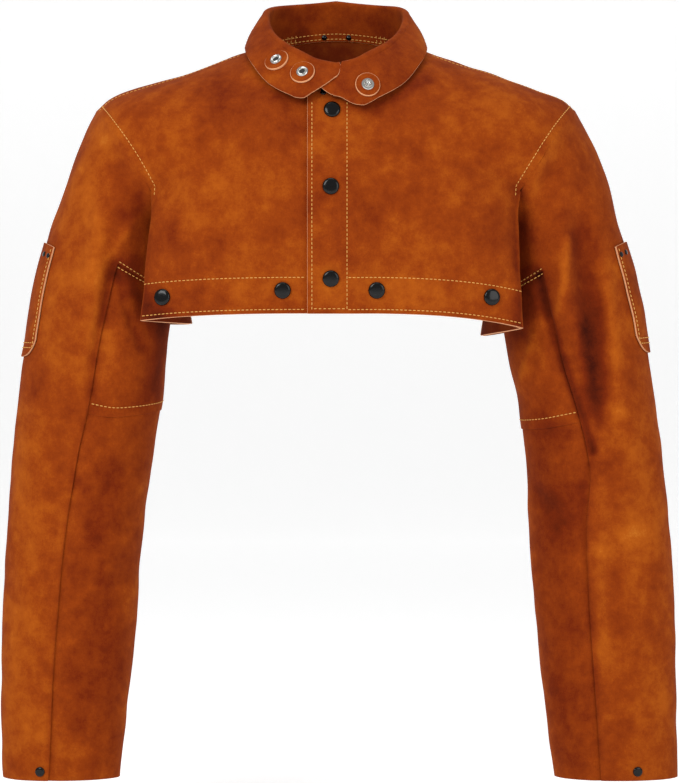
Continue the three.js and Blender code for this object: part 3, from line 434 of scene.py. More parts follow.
    def point(self, out: Array, level: Array, face: Face) -> Array:
        """Point of the front or back: full depth times the arch, blended to the edge line by
        share^flatness.

        Args:
            out: distances from the middle in millimetres, + to the wearer's left.
            level: 0 at the hem, 1 at the armhole's corner, 2 at the shoulder tip.
            face: front or back.
        Returns:
            (..., 3) points.
        """
        out, level = np.broadcast_arrays(np.asarray(out, float), np.asarray(level, float))
        side = np.where(out < 0, -1.0, 1.0)
        edge = self.edge(level, side, face)
        share = np.minimum(np.abs(out) / edge[..., 0], 1.0)
        top = share * self.shoulder_half
        top_up = np.where(top < self.neck_half, self.neck_up(top, face), self.ridge_up(top, face))
        hem_edge = self.hem_up(np.ones(out.shape), side, face)
        rise = (edge[..., 2] - hem_edge) / (self.shoulder_tip_up - hem_edge)
        hem = self.hem_up(share, side, face)
        up = hem + (top_up - hem) * rise
        height = (up + self.hem_down) / (self.hem_down + self.shoulder_tip_up)
        column = self.depth_front if face is Face.FRONT else self.depth_back
        full = self.depth * along(self.depth_keys, column, height) * (-1 if face is Face.FRONT else 1)
        turned = arch((self.ridge_up(out, face) - up) / self.arch_height(out, face))
        blend = share**self.flatness
        return np.stack([out, full * turned * (1 - blend) + edge[..., 1] * blend, up], axis=-1)

    def at(self, out: Array, up: Array, face: Face) -> Array:
        """Point of the sheet seen at a place in the front view, found by halving the level.

        Args:
            out: distances from the middle in millimetres, + to the wearer's left.
            up: heights in millimetres.
            face: front or back.
        Returns:
            (..., 3) points.
        """
        out, up = np.broadcast_arrays(np.asarray(out, float), np.asarray(up, float))
        low, high = np.zeros(out.shape), np.full(out.shape, 2.0)
        for _ in range(32):
            level = (low + high) / 2
            below = self.point(out, level, face)[..., 2] < up
            low, high = np.where(below, level, low), np.where(below, high, level)
        return self.point(out, (low + high) / 2, face)

    def normal_at(self, out: Array, up: Array, face: Face) -> Array:
        """Outward normal at a place in the front view, from the points 3 mm to each side.

        Args:
            out: distances from the middle in millimetres, + to the wearer's left.
            up: heights in millimetres.
            face: front or back.
        Returns:
            Unit normals.
        """
        right = self.at(out + 3, up, face) - self.at(out - 3, up, face)
        above = self.at(out, up + 3, face) - self.at(out, up - 3, face)
        normal = np.cross(right, above)
        normal *= 1 if face is Face.FRONT else -1
        return normal / np.linalg.norm(normal, axis=-1, keepdims=True)

    def placket_lift(self, out: Array) -> Array:
        """Height of the layers at the placket, eased out to the side.

        Args:
            out: distances from the middle in millimetres, + to the wearer's left.
        Returns:
            Lift in millimetres.
        """
        start = self.placket_width - self.placket_over
        layers = 2 * self.layer_gap + self.leather + self.facing
        return layers * (1 - smooth(start, start + self.placket_ease, out))

    def lifted(self, out: Array, level: Array, lift: Array | float) -> Array:
        """Point of the lapped front: lowered by its rounded corner and moved out to its layer.

        Args:
            out: distances from the middle in millimetres, + to the wearer's left.
            level: 0 at the hem, 1 at the armhole's corner, 2 at the shoulder tip.
            lift: height over the surface in millimetres.
        Returns:
            (..., 3) points.
        """
        base = self.point(out, level, Face.FRONT)
        share = np.maximum(0.0, (-out - self.placket_over * 0.35) / (self.placket_over * 0.65))
        cut = self.corner_cut * share * share * smooth(1.45, 2.0, level)
        up = base[..., 2] - cut
        moved = np.where((cut > 0)[..., None], self.at(out, up, Face.FRONT), base)
        near = np.minimum(up, self.ridge_up(out, Face.FRONT) - 8)
        return moved + self.normal_at(out, near, Face.FRONT) * np.asarray(lift)[..., None]

    def wrap(self, turn: Array, level: Array, side: float, face: Face) -> Array:
        """Side under the arm: a cubic from the hem corner to the side seam, ruled up to the armhole.

        Args:
            turn: 0 at the near end, 1 at the far end.
            level: 0 at the hem, 1 at the armhole's corner, 2 at the shoulder tip.
            side: -1 for the wearer's right, 1 for the left.
            face: front or back.
        Returns:
            (..., 3) points.
        """
        turn, level = np.broadcast_arrays(np.asarray(turn, float), np.asarray(level, float))
        top = self.armhole(self.arm_corner + (180 - self.arm_corner) * turn, face)
        corner = self.edge(np.zeros(turn.shape), np.full(turn.shape, side), face)
        t, s = turn, 1 - turn
        ahead = 3 * s * s * t * (corner[..., 0] + self.wrap_ahead)
        x = s**3 * corner[..., 0] + ahead + (3 * s * t * t + t**3) * self.side_seam_half
        y = corner[..., 1] * (s**3 + 3 * s * s * t * self.wrap_near + 3 * s * t * t * self.wrap_far)
        down = self.side_seam_down[0 if side < 0 else 1]
        z = corner[..., 2] + (-down - corner[..., 2]) * smooth(0, 1, turn)
        low = np.stack([x, y, z], axis=-1)
        point = low + (top - low) * level[..., None]
        point[..., 0] *= side
        return point


@dataclass(frozen=True)
class Fold:
    """A fold or valley along a sleeve: shares of its length, angle round it, spread and rise."""

    start: float
    end: float
    angle: float
    lean: float
    spread: float
    rise: float


@dataclass(frozen=True)
class SleeveShape:
    """A sleeve as rings between an outer and an inner edge, drawn on +X and mirrored for the right arm."""

    side: float
    rows: tuple[tuple[float, float, float, float, float], ...]
    folds: tuple[Fold, ...]
    body: BodyShape = BodyShape()
    length: float = 631.0
    width: float = 137.0
    deep: float = 134.0
    seam_keys: tuple[float, ...] = (0.0, 0.15, 0.387, 0.5, 0.65, 1.0)
    seam_angles: tuple[float, ...] = (118.0, 101.0, 93.0, 88.0, 84.0, 80.0)
    gusset_top: float = 0.15
    lap: float = 0.387
    lap_turns: tuple[float, ...] = (0.0, 0.23, 0.47, 1.0)
    lap_bends: tuple[float, ...] = (-0.0015, 0.006, 0.004, -0.006)

    def seam(self, at: Array) -> Array:
        """Angle of the long front seam at a place along the sleeve.

        Args:
            at: places along the sleeve, 0 to 1.
        Returns:
            Angle at each place.
        """
        return along(self.seam_keys, self.seam_angles, at)

    def lap_at(self, turn: Array) -> Array:
        """Place of the lapped seam, 0 at the long seam and 1 on the inside of the arm.

        Args:
            turn: 0 at the near end, 1 at the far end.
        Returns:
            Place along the sleeve.
        """
        return self.lap + along(self.lap_turns, self.lap_bends, turn)

    def point(self, angle: Array, at: Array) -> Array:
        """Point at an angle (0 outside, 90 in front, 180 inside) and a share of the length.

        The ring is an ellipse between the table's outer and inner edge; folds add bumps that fall
        off with the square of the angle.

        Args:
            angle: degrees: 0 outside, 90 in front, 180 inside.
            at: places along the sleeve, 0 to 1.
        Returns:
            (..., 3) points.
        """
        angle, at = np.broadcast_arrays(np.asarray(angle, float), np.asarray(at, float))
        b = self.body
        first = (
            1.0,
            0.0,
            (b.shoulder_half - b.arm_bottom_half) / self.width,
            (b.arm_bottom_down + b.shoulder_tip_up) / self.length,
            2 * b.arm_front / self.deep,
        )
        rows = np.array((first, *self.rows))
        place = (rows[:, 1] + rows[:, 3]) / 2
        place = (place - place[0]) / (1 - place[0])
        out = along(place, rows[:, 0], at) * b.shoulder_half
        up = b.shoulder_tip_up - along(place, rows[:, 1], at) * self.length
        wide = along(place, rows[:, 2], at) * self.width
        in_up = b.shoulder_tip_up - along(place, rows[:, 3], at) * self.length
        deep = along(place, rows[:, 4], at) * self.deep / 2
        turn = (angle + 180) % 360 - 180
        c, s = np.cos(np.radians(turn)), np.sin(np.radians(turn))
        half_out, half_up = wide / 2, (up - in_up) / 2
        length = np.hypot(half_out, half_up)
        fade = 1 - smooth(0, 0.16, at)
        bow = b.arm_bow * s * s * fade
        stretch = np.where(turn < 0, 1 + (b.arm_back / b.arm_front - 1) * fade, 1.0)
        swell = np.zeros(at.shape)
        for f in self.folds:
            middle = f.angle + f.lean * (at - f.start) / (f.end - f.start)
            off = (turn - middle) / f.spread
            span = f.end - f.start
            seen = smooth(f.start, f.start + 0.35 * span, at) * (
                1 - smooth(f.start + 0.6 * span, f.end, at)
            )
            swell = swell + f.rise * seen * np.exp(-off * off)
        x = out - half_out + half_out * c - bow * half_up / length + swell * c * 0.7
        y = -(deep * stretch + swell) * s
        z = (up + in_up) / 2 + half_up * c + bow * half_out / length
        return np.stack([x * self.side, y, z], axis=-1)

    def normal(self, angle: Array, at: Array) -> Array:
        """Outward normal from nearby points.

        Args:
            angle: degrees: 0 outside, 90 in front, 180 inside.
            at: places along the sleeve, 0 to 1.
        Returns:
            Unit normals.
        """
        ring = self.point(angle + 2, at) - self.point(angle - 2, at)
        down = self.point(angle, at + 0.006) - self.point(angle, at - 0.006)
        normal = np.cross(ring, down) * self.side
        return normal / np.linalg.norm(normal, axis=-1, keepdims=True)


@dataclass(frozen=True)
class CollarShape:
    """Collar strip: a stand on the neck edge, a rolled top and a fall that lies on the shoulders."""

    body: BodyShape = BodyShape()
    roll: float = 2.0
    side_lean: float = 0.88
    roll_front: float = 4.8
    side_half: float = 83.5
    swell: float = 2.4
    clear: float = 1.6
    end_lift: float = 4.6
    cross_lift: float = 2.7
    angles: tuple[float, ...] = (0, 8, 17, 27, 45, 60, 75, 90, 110, 135, 180)
    roll_ups: tuple[float, ...] = (-13, -11, -8, -2, 8, 18, 30, 43, 51, 56, 62)
    lower_ups: tuple[float, ...] = (-57, -55, -48, -41, -27, -14, -3, 7, 9, 13, 18)
    strip: tuple[float, ...] = (0, 0.5, 1, 1.25, 1.5, 1.75, 2, 2.35, 2.7, 2.92, 3)
    right_ends: tuple[float, ...] = (4, 2, -3, -3, -3, -3, -3, 2, 8.5, 12, 16)
    left_ends: tuple[float, ...] = (5, 5, 5, 5, 5, 4, 2, -8, 0, 4.3, 8.5)
    back_lean: float = 0.92
    front_lean_more: float = 0.12
    corners: float = 0.62

    def neck(self, angle: Array) -> Array:
        """Point of the neck edge at an angle from the front centre, 180 at the back.

        Args:
            angle: degrees from the front centre, 180 at the back.
        Returns:
            (..., 3) points.
        """
        b = self.body
        x = -b.neck_half * np.sin(np.radians(angle))
        found = []
        for face in (Face.FRONT, Face.BACK):
            up = b.neck_up(x, face)
            height = (up + b.hem_down) / (b.hem_down + b.shoulder_tip_up)
            column = b.depth_front if face is Face.FRONT else b.depth_back
            full = b.depth * along(b.depth_keys, column, height) * (-1 if face is Face.FRONT else 1)
            y = full * arch((b.ridge_up(x, face) - up) / b.arch_height(x, face))
            found.append(np.stack([x, y, up], axis=-1))
        return np.where((np.cos(np.radians(angle)) > 0)[..., None], found[0], found[1])

    def away(self, angle: Array) -> Array:
        """Level direction away from the neck.

        Args:
            angle: degrees from the front centre, 180 at the back.
        Returns:
            Unit directions.
        """
        step = self.neck(angle + 4) - self.neck(angle - 4)
        flat = np.stack([-step[..., 1], step[..., 0], np.zeros(angle.shape)], axis=-1)
        return flat / np.linalg.norm(flat, axis=-1, keepdims=True)

    def point(self, angle: Array, strip: Array) -> Array:
        """Point of the strip: 0..1 up the stand, 1..2 round the roll, 2..3 down the fall.

        The fall runs straight from the roll to a lower edge laid on the body, with a slight swell.

        Args:
            angle: degrees from the front centre, 180 at the back.
            strip: places across the strip, 0 to 3.
        Returns:
            (..., 3) points.
        """
        angle, strip = np.broadcast_arrays(np.asarray(angle, float), np.asarray(strip, float))
        b = self.body
        size = np.abs((angle + 540) % 360 - 180)
        base, away = self.neck(angle), self.away(angle)
        front = np.maximum(np.cos(np.radians(angle)), 0)
        up = np.array([0.0, 0.0, 1.0])
        top = np.stack(
            [
                base[..., 0] * self.side_lean,
                base[..., 1] * (self.back_lean + self.front_lean_more * front),
                along(self.angles, self.roll_ups, size)
            ], axis=-1
        )
        roll = (self.roll_front + (self.roll - self.roll_front) * smooth(25, 60, size))[..., None]
        low = base - away * b.leather
        high = top - away * roll - up * roll
        stand = low + (high - low) * np.clip(strip, 0, 1)[..., None]
        turn = (np.clip(strip - 1, 0, 1) * np.pi)[..., None]
        rolled = top - away * roll * np.cos(turn) + up * roll * (np.sin(turn) - 1)
        down = np.clip(strip - 2, 0, 1)
        round_share = np.abs(np.sin(np.radians(angle))) ** self.corners
        out = self.side_half * round_share * np.where(base[..., 0] < 0, -1, 1)
        lower = along(self.angles, self.lower_ups, size)
        is_front = np.cos(np.radians(angle)) > 0
        touches = []
        for face in (Face.FRONT, Face.BACK):
            place = np.minimum(lower, b.ridge_up(out, face) - 0.5)
            clear = self.clear + b.leather + self.end_lift * (1 - smooth(16, 42, size))
            wrapped = np.where(angle > 180, angle - 360, angle)
            cross = np.where(angle < 180, self.cross_lift * (1 - smooth(8, 34, wrapped)), 0)
            normal = b.normal_at(out, place, face)
            touches.append(b.at(out, place, face) + normal * (clear + cross)[..., None])
        edge = np.where(is_front[..., None], touches[0], touches[1])
        start = top + away * (roll + (cross * smooth(0, 0.3, down))[..., None]) - up * roll
        fall = start + (edge - start) * down[..., None] + away * (
            self.swell * np.sin(down * np.pi)
        )[..., None]
        s = strip[..., None]
        return np.where(s <= 1, stand, np.where(s <= 2, rolled, fall))

    def frame(self, angle: float, strip: float) -> tuple[Array, Array]:
        """Point and outward normal of the strip.

        Args:
            angle: degrees from the front centre, 180 at the back.
            strip: places across the strip, 0 to 3.
        Returns:
            The point and its normal.
        """
        a, s = np.array([angle]), np.array([strip])
        across = self.point(a + 2, s) - self.point(a - 2, s)
        lower = self.point(a, s + 0.03) - self.point(a, s - 0.03)
        normal = np.cross(across, lower)[0]
        return self.point(a, s)[0], normal / np.linalg.norm(normal)


# Meshes


@dataclass
class Sheet:
    """A leather sheet as an outer surface of quads, thickened inwards."""

    points: Array
    quads: Array

    @staticmethod
    def grid(points: Array, closed: bool = False, flip: bool = False, keep: Array | None = None) -> "Sheet":
        """Sheet from a (rows, columns, 3) array of points; keep is a mask over its cells.

        Args:
            points: (rows, columns, 3) places in millimetres.
            closed: joins the last column to the first.
            flip: turns the faces over.
            keep: mask over the cells, or None for all.
        Returns:
            The sheet.
        """
        rows, columns = points.shape[:2]
        index = np.arange(rows * columns).reshape(rows, columns)
        if closed:
            index = np.concatenate([index, index[:, :1]], axis=1)
        quads = np.stack([index[:-1, :-1], index[:-1, 1:], index[1:, 1:], index[1:, :-1]], axis=-1)
        if keep is not None:
            quads = quads[keep]
        quads = quads.reshape(-1, 4)
        return Sheet(points.reshape(-1, 3), quads[:, ::-1] if flip else quads)

    @staticmethod
    def joined(sheets: Sequence["Sheet"]) -> "Sheet":
        """Several sheets as one, with the points that coincide made one.

        Args:
            sheets: the sheets to join.
        Returns:
            The sheet.
        """
        starts = np.cumsum([0] + [len(s.points) for s in sheets[:-1]])
        points = np.concatenate([s.points for s in sheets])
        quads = np.concatenate([s.quads + n for s, n in zip(sheets, starts)])
        _, first, same = np.unique(np.round(points, 3), axis=0, return_index=True, return_inverse=True)
        return Sheet(points[first], same.reshape(-1)[quads])

    def tidy(self) -> "Sheet":
        """The same sheet without the points that no quad uses.

        Returns:
            The sheet.
        """
        used, quads = np.unique(self.quads, return_inverse=True)
        return Sheet(self.points[used], quads.reshape(-1, 4))

    def normals(self) -> Array:
        """Unit normals at the points: the sum of the cross products of the diagonals of the quads round
        each.

        Returns:
            (n, 3) unit normals.
        """
        p = self.points[self.quads]
        cross = np.cross(p[:, 2] - p[:, 0], p[:, 3] - p[:, 1])
        total = np.zeros_like(self.points)
        for i in range(4):
            np.add.at(total, self.quads[:, i], cross)
        return total / np.maximum(np.linalg.norm(total, axis=1, keepdims=True), 1e-9)

    def rim(self) -> Array:
        """Directed edges that only one quad has.

        Returns:
            (m, 2) indices.
        """
        edges = self.quads[:, [[0, 1], [1, 2], [2, 3], [3, 0]]].reshape(-1, 2)
        _, place, count = np.unique(np.sort(edges, axis=1), axis=0, return_index=True, return_counts=True)
        return edges[place[count == 1]]

    def solid(
        self,
        thick: float,
        height: float = RELIEF,
        seed: int = RELIEF_SEED,
        shift: Array | float = 0.0,
        cut: Cut | None = None,
    ) -> tuple[Array, Array, Array, Array]:
        """Closed mesh of the sheet with the relief of the hide on both faces.

        Args:
            thick: thickness in millimetres.
            height: root-mean-square relief.
            seed: seed of the relief, shared by sheets that meet.
            shift: how far the sheet is moved along its normals.
            cut: says which rim edges, by their middles, show the pale cut of the hide.
        Returns:
            Points, quads, the material index of each quad and the painted shade or highlight of each point.
        """
        sheet = self.tidy()
        normals = sheet.normals()
        bump, tone = hide(sheet.points, normals, height, seed)
        outer = sheet.points + normals * (bump + shift)[:, None]
        rim = sheet.rim()
        n = len(outer)
        inner = outer - normals * thick
        middle = outer - normals * (thick * 0.5)
        step = outer[rim[:, 1]] - outer[rim[:, 0]]
        outward = -np.cross(normals[rim[:, 0]], step)
        outward /= np.maximum(np.linalg.norm(outward, axis=1, keepdims=True), 1e-9)
        push = np.zeros_like(outer)
        np.add.at(push, rim[:, 0], outward)
        np.add.at(push, rim[:, 1], outward)
        push /= np.maximum(np.linalg.norm(push, axis=1, keepdims=True), 1e-9)
        middle += push * thick * 0.18
        a, b = rim[:, 0], rim[:, 1]
        walls = np.concatenate(
            [np.stack([b, a, a + 2 * n, b + 2 * n], 1), np.stack([b + 2 * n, a + 2 * n, a + n, b + n], 1)]
        )
        quads = np.concatenate([sheet.quads, sheet.quads[:, ::-1] + n, walls])
        pale = np.zeros(len(rim), bool) if cut is None else cut((sheet.points[a] + sheet.points[b]) / 2)
        edge = np.where(np.tile(pale, 2), Part.CUT.value, Part.SUEDE.value)
        face, back = np.full(
            len(sheet.quads), Part.SUEDE.value
        ), np.full(len(sheet.quads), Part.FLESH.value)
        # The inner face keeps two fifths of the painted shade and none of the painted highlight; the middle
        # points of the walls keep both in full
        painted_shades = np.concatenate([tone, np.minimum(tone, 0) * 0.4, tone])
        return np.concatenate([outer, inner, middle]), quads, np.concatenate([face, back, edge]), painted_shades


def make_object(
    name: str,
    points: Array,
    faces: Array,
    kinds: Array | None,
    materials: Sequence,
    sharp: float = 60,
    tone: Array | None = None,
) -> bpy.types.Object:
    """Mesh object from millimetre points, without the points no face uses.

    Args:
        name: name of the object.
        points: (n, 3) places in millimetres.
        faces: (m, 3 or 4) indices.
        kinds: material index of each face, or None.
        materials: the materials.
        sharp: angle in degrees above which an edge stays sharp.
        tone: painted shade or highlight of each point, kept in a mesh attribute that the leather's colour
            reads, or None.
    Returns:
        The object, linked to the scene.
    """
    used, index = np.unique(faces, return_inverse=True)
    faces = index.reshape(faces.shape)
    mesh = bpy.data.meshes.new(name)
    mesh.from_pydata((points[used] * MM).tolist(), [], faces.tolist())
    for material in materials:
        mesh.materials.append(material)
    if kinds is not None:
        mesh.polygons.foreach_set("material_index", kinds.astype(np.int32))
    mesh.polygons.foreach_set("use_smooth", np.ones(len(faces), bool))
    mesh.set_sharp_from_angle(angle=math.radians(sharp))
    # The painted shade and highlight go into a point attribute that darkens or lightens the leather's colour
    if tone is not None:
        mesh.attributes.new("painted_shading", "FLOAT", "POINT").data.foreach_set(
            "value", tone[used].astype(np.float32)
        )
    mesh.update()
    obj = bpy.data.objects.new(name, mesh)
    bpy.context.scene.collection.objects.link(obj)
    return obj


def revolve(profile: Array, centre: Array, normal: Array, steps: int = 40) -> tuple[Array, Array]:
    """Turned solid: a profile of (radius, height) rows carried round the normal; rows on the axis close
    it.

    Args:
        profile: (n, 2) rows of radius and height in millimetres.
        centre: (3,) base point.
        normal: (3,) axis.
        steps: sides of the solid.
    Returns:
        Points and faces.
    """
    normal = normal / np.linalg.norm(normal)
    side = np.cross([0.0, 0.0, 1.0], normal)
    side /= np.linalg.norm(side)
    above = np.cross(normal, side)
    turn = np.arange(steps) * 2 * np.pi / steps
    ring = np.cos(turn)[:, None] * side + np.sin(turn)[:, None] * above
    radius = np.maximum(profile[:, 0], 0.012)
    points = centre + radius[:, None, None] * ring + profile[:, 1][:, None, None] * normal
    sheet = Sheet.grid(points, closed=True)
    rows = len(profile)
    closed = np.allclose(profile[0], profile[-1])
    faces = sheet.quads
    if closed:
        last = (faces >= (rows - 1) * steps) * (rows - 1) * steps
        faces = faces - last
        return points.reshape(-1, 3), faces
    caps = []
    for row, flip in ((0, True), (rows - 1, False)):
        index = row * steps + np.arange(steps)
        centre_index = np.full(steps, rows * steps + (0 if flip else 1))
        pair = [index, np.roll(index, -1), centre_index, centre_index]
        caps.append(np.stack(pair if not flip else [pair[1], pair[0], pair[2], pair[3]], axis=1))
    ends = np.stack([centre + normal * profile[0, 1], centre + normal * profile[-1, 1]])
    triangles = np.concatenate(
        [faces[:, [0, 1, 2]], faces[:, [0, 2, 3]], np.concatenate(caps)[:, :3]]
    )
    return np.concatenate([points.reshape(-1, 3), ends]), triangles


@dataclass(frozen=True)
class Thread:
    """Topstitching: pitch, stitch length and thread width in millimetres."""

    pitch: float = 3.9
    length: float = 2.75
    width: float = 0.82
    proud: float = 0.12

    def row(self, path: Array, normals: Array) -> tuple[Array, Array]:
        """Stitches along a path: each a small spindle laid along the path, dipping into the hide at its
        ends.

        Args:
            path: (n, 3) points on the surface.
            normals: (n, 3) outward normals.
        Returns:
            Points and quads.
        """
        gap = np.linalg.norm(np.diff(path, axis=0), axis=1)
        run = np.concatenate([[0], np.cumsum(gap)])
        count = max(int(run[-1] / self.pitch), 1)
        places = (np.arange(count) + 0.5) * run[-1] / count
        read = lambda table, s: np.stack([np.interp(s, run, table[:, i]) for i in range(3)], axis=-1)
        t = np.linspace(-1, 1, 7)
        sides = 6
        s = places[:, None] + t * self.length / 2
        spine, up = read(path, s), read(normals, s)
        up /= np.linalg.norm(up, axis=-1, keepdims=True)
        spine = spine + up * (self.proud + self.width * 0.2 * (1 - 2.2 * t**2))[None, :, None]
        tangent = np.gradient(spine, axis=1)
        tangent /= np.linalg.norm(tangent, axis=-1, keepdims=True)
        across = np.cross(tangent, up)
        across /= np.linalg.norm(across, axis=-1, keepdims=True)
        radius = (self.width / 2 * np.sqrt(np.maximum(1 - (t * 0.97) ** 4, 0.02)))[None, :, None, None]
        turn = np.arange(sides) * 2 * np.pi / sides
        flat, tall = np.cos(turn)[None, None, :, None], np.sin(turn)[None, None, :, None]
        ring = flat * across[:, :, None] + tall * up[:, :, None]
        points = spine[:, :, None] + ring * radius
        index = np.arange(points.size // 3).reshape(count, len(t), sides)
        wide = np.concatenate([index, index[:, :, :1]], axis=2)
        quads = np.stack(
            [wide[:, :-1, :-1], wide[:, 1:, :-1], wide[:, 1:, 1:], wide[:, :-1, 1:]], axis=-1
        ).reshape(-1, 4)
        ends = [
            index[:, 0][:, [0, 1, 2, 3]],
            index[:, 0][:, [0, 3, 4, 5]],
            index[:, -1][:, [3, 2, 1, 0]],
            index[:, -1][:, [5, 4, 3, 0]]
        ]
        return points.reshape(-1, 3), np.concatenate([quads, *ends])


# Materials


def srgb(code: str) -> tuple[float, float, float, float]:
    """Linear colour of an sRGB hex code.

    Args:
        code: the colour as #RRGGBB.
    Returns:
        Linear red, green, blue and alpha.
    """
    raw = np.array([int(code[i : i + 2], 16) for i in (1, 3, 5)]) / 255
    lin = np.where(raw <= 0.04045, raw / 12.92, ((raw + 0.055) / 1.055) ** 2.4)
    return (*lin.tolist(), 1.0)


def add(tree: bpy.types.NodeTree, kind: str, settings: dict | None = None, **values) -> bpy.types.Node:
    """Adds a node, sets its properties and its input values, or links sockets given as values.

    Args:
        tree: node tree to add to.
        kind: type of the node.
        settings: properties of the node.
        values: inputs by name, _ for a space, or i and a number.
    Returns:
        The node.
    """
    node = tree.nodes.new(kind)
    for key, value in (settings or {}).items():
        setattr(node, key, value)
    for key, value in values.items():
        numbered = key[0] == "i" and key[1:].isdigit()
        socket = node.inputs[int(key[1:]) if numbered else key.replace("_", " ")]
        if isinstance(value, bpy.types.NodeSocket):
            tree.links.new(value, socket)
        else:
            socket.default_value = value
    return node


def new_material(name: str) -> tuple[bpy.types.Material, bpy.types.NodeTree, bpy.types.Node]:
    """Material with one Principled shader, all other nodes removed.

    Args:
        name: name to give it.
    Returns:
        Material, node tree and shader.
    """
    material = bpy.data.materials.new(name)
    material.use_nodes = True
    tree = material.node_tree
    tree.nodes.clear()
    shader = add(tree, "ShaderNodeBsdfPrincipled")
    output = add(tree, "ShaderNodeOutputMaterial")
    tree.links.new(shader.outputs[0], output.inputs[0])
    return material, tree, shader


@dataclass(frozen=True)
class Suede:
    """Split cowhide: mottled dye, a fine nap that catches the light, dull all over."""

    name: str
    worn: str
    deep: str
    mid: str
    light: str
    pale: str
    cloud_mm: float = 62.0
    patch_mm: float = 17.0
    nap_mm: float = 1.2
    bump_mm: float = 0.5
    sheen: float = 0.03
    spread: float = 0.19
    # How strongly the painted shade and highlight of the folds move the dye darker or lighter
    painted_shading_weight: float = 0.42
    patch_weight: float = 0.5
    cloud_weight: float = 0.62
    nap_weight: float = 0.20
    darker: float = -0.05
    middle: float = 0.61
    pit_mm: float = 4.2
    sheen_colour: str = "#F09040"

    def build(self) -> bpy.types.Material:
        """Builds the material.

        Returns:
            The material: clouds and patches mix three dyes, grain speckles them, the painted shade and
                highlight of the folds darken or lighten them, two bumps give nap and pits.
        """
        material, tree, shader = new_material(self.name)
        place = add(tree, "ShaderNodeTexCoord").outputs["Object"]
        noise = lambda size, detail, rough: add(
            tree, "ShaderNodeTexNoise", Vector=place, Scale=1 / (size * MM), Detail=detail, Roughness=rough
        ).outputs["Fac"]
        cloud = noise(self.cloud_mm, 5.0, 0.62)
        patch = noise(self.patch_mm, 6.0, 0.68)
        nap = noise(self.nap_mm, 3.0, 0.7)
        pit = noise(self.pit_mm, 4.0, 0.6)
        # Painted shade and highlight of the folds, read from the mesh attribute
        painted_shading = add(tree, "ShaderNodeAttribute", {"attribute_name": "painted_shading"}).outputs["Fac"]
        blend = self.darker
        for source, weight in (
            (patch, self.patch_weight), (cloud, self.cloud_weight), (nap, self.nap_weight), (painted_shading, self.painted_shading_weight)
        ):
            mixed = add(tree, "ShaderNodeMath", {"operation": "MULTIPLY_ADD"}, i0=source, i1=weight, i2=blend)
            blend = mixed.outputs[0]
        ramp = add(tree, "ShaderNodeValToRGB", Fac=blend)
        points = ramp.color_ramp.elements
        points[0].position, points[0].color = 0.1, srgb(self.worn)
        points[1].position, points[1].color = 0.98, srgb(self.pale)
        for place, colour in (
            (self.middle - self.spread, self.deep),
            (self.middle, self.mid),
            (self.middle + self.spread, self.light),
        ):
            points.new(place).color = srgb(colour)
        tree.links.new(ramp.outputs["Color"], shader.inputs["Base Color"])
        soft = add(tree, "ShaderNodeBump", Height=pit, Strength=0.5, Distance=self.bump_mm * MM)
        fine = add(
            tree,
            "ShaderNodeBump",
            Height=nap,
            Strength=0.55,
            Distance=self.bump_mm * 0.5 * MM,
            Normal=soft.outputs[0]
        )
        tree.links.new(fine.outputs[0], shader.inputs["Normal"])
        shader.inputs["Roughness"].default_value = 0.94
        shader.inputs["Specular IOR Level"].default_value = 0.1
        shader.inputs["Sheen Weight"].default_value = self.sheen
        shader.inputs["Sheen Roughness"].default_value = 0.55
        shader.inputs["Sheen Tint"].default_value = srgb(self.sheen_colour)
        return material


@dataclass(frozen=True)
class Plain:
    """Dye or metal with a faint unevenness: threads, caps, eyelets."""

    name: str
    colour: str
    second: str
    grain_mm: float
    roughness: float
    metallic: float = 0.0
    bump_mm: float = 0.05
    specular: float = 0.5

    def build(self) -> bpy.types.Material:
        """Builds the material: two close shades mixed by a small noise, with a faint bump.

        Returns:
            The material.
        """
        material, tree, shader = new_material(self.name)
        place = add(tree, "ShaderNodeTexCoord").outputs["Object"]
        grain = add(
            tree, "ShaderNodeTexNoise", Vector=place, Scale=1 / (self.grain_mm * MM), Detail=4.0
        ).outputs["Fac"]
        mix = add(
            tree,
            "ShaderNodeMix",
            {"data_type": "RGBA"},
            i0=grain,
            i6=srgb(self.colour),
            i7=srgb(self.second)
        )
        tree.links.new(mix.outputs[2], shader.inputs["Base Color"])
        bump = add(tree, "ShaderNodeBump", Height=grain, Strength=0.4, Distance=self.bump_mm * MM)
        tree.links.new(bump.outputs[0], shader.inputs["Normal"])
        shader.inputs["Roughness"].default_value = self.roughness
        shader.inputs["Metallic"].default_value = self.metallic
        shader.inputs["Specular IOR Level"].default_value = self.specular
        return material


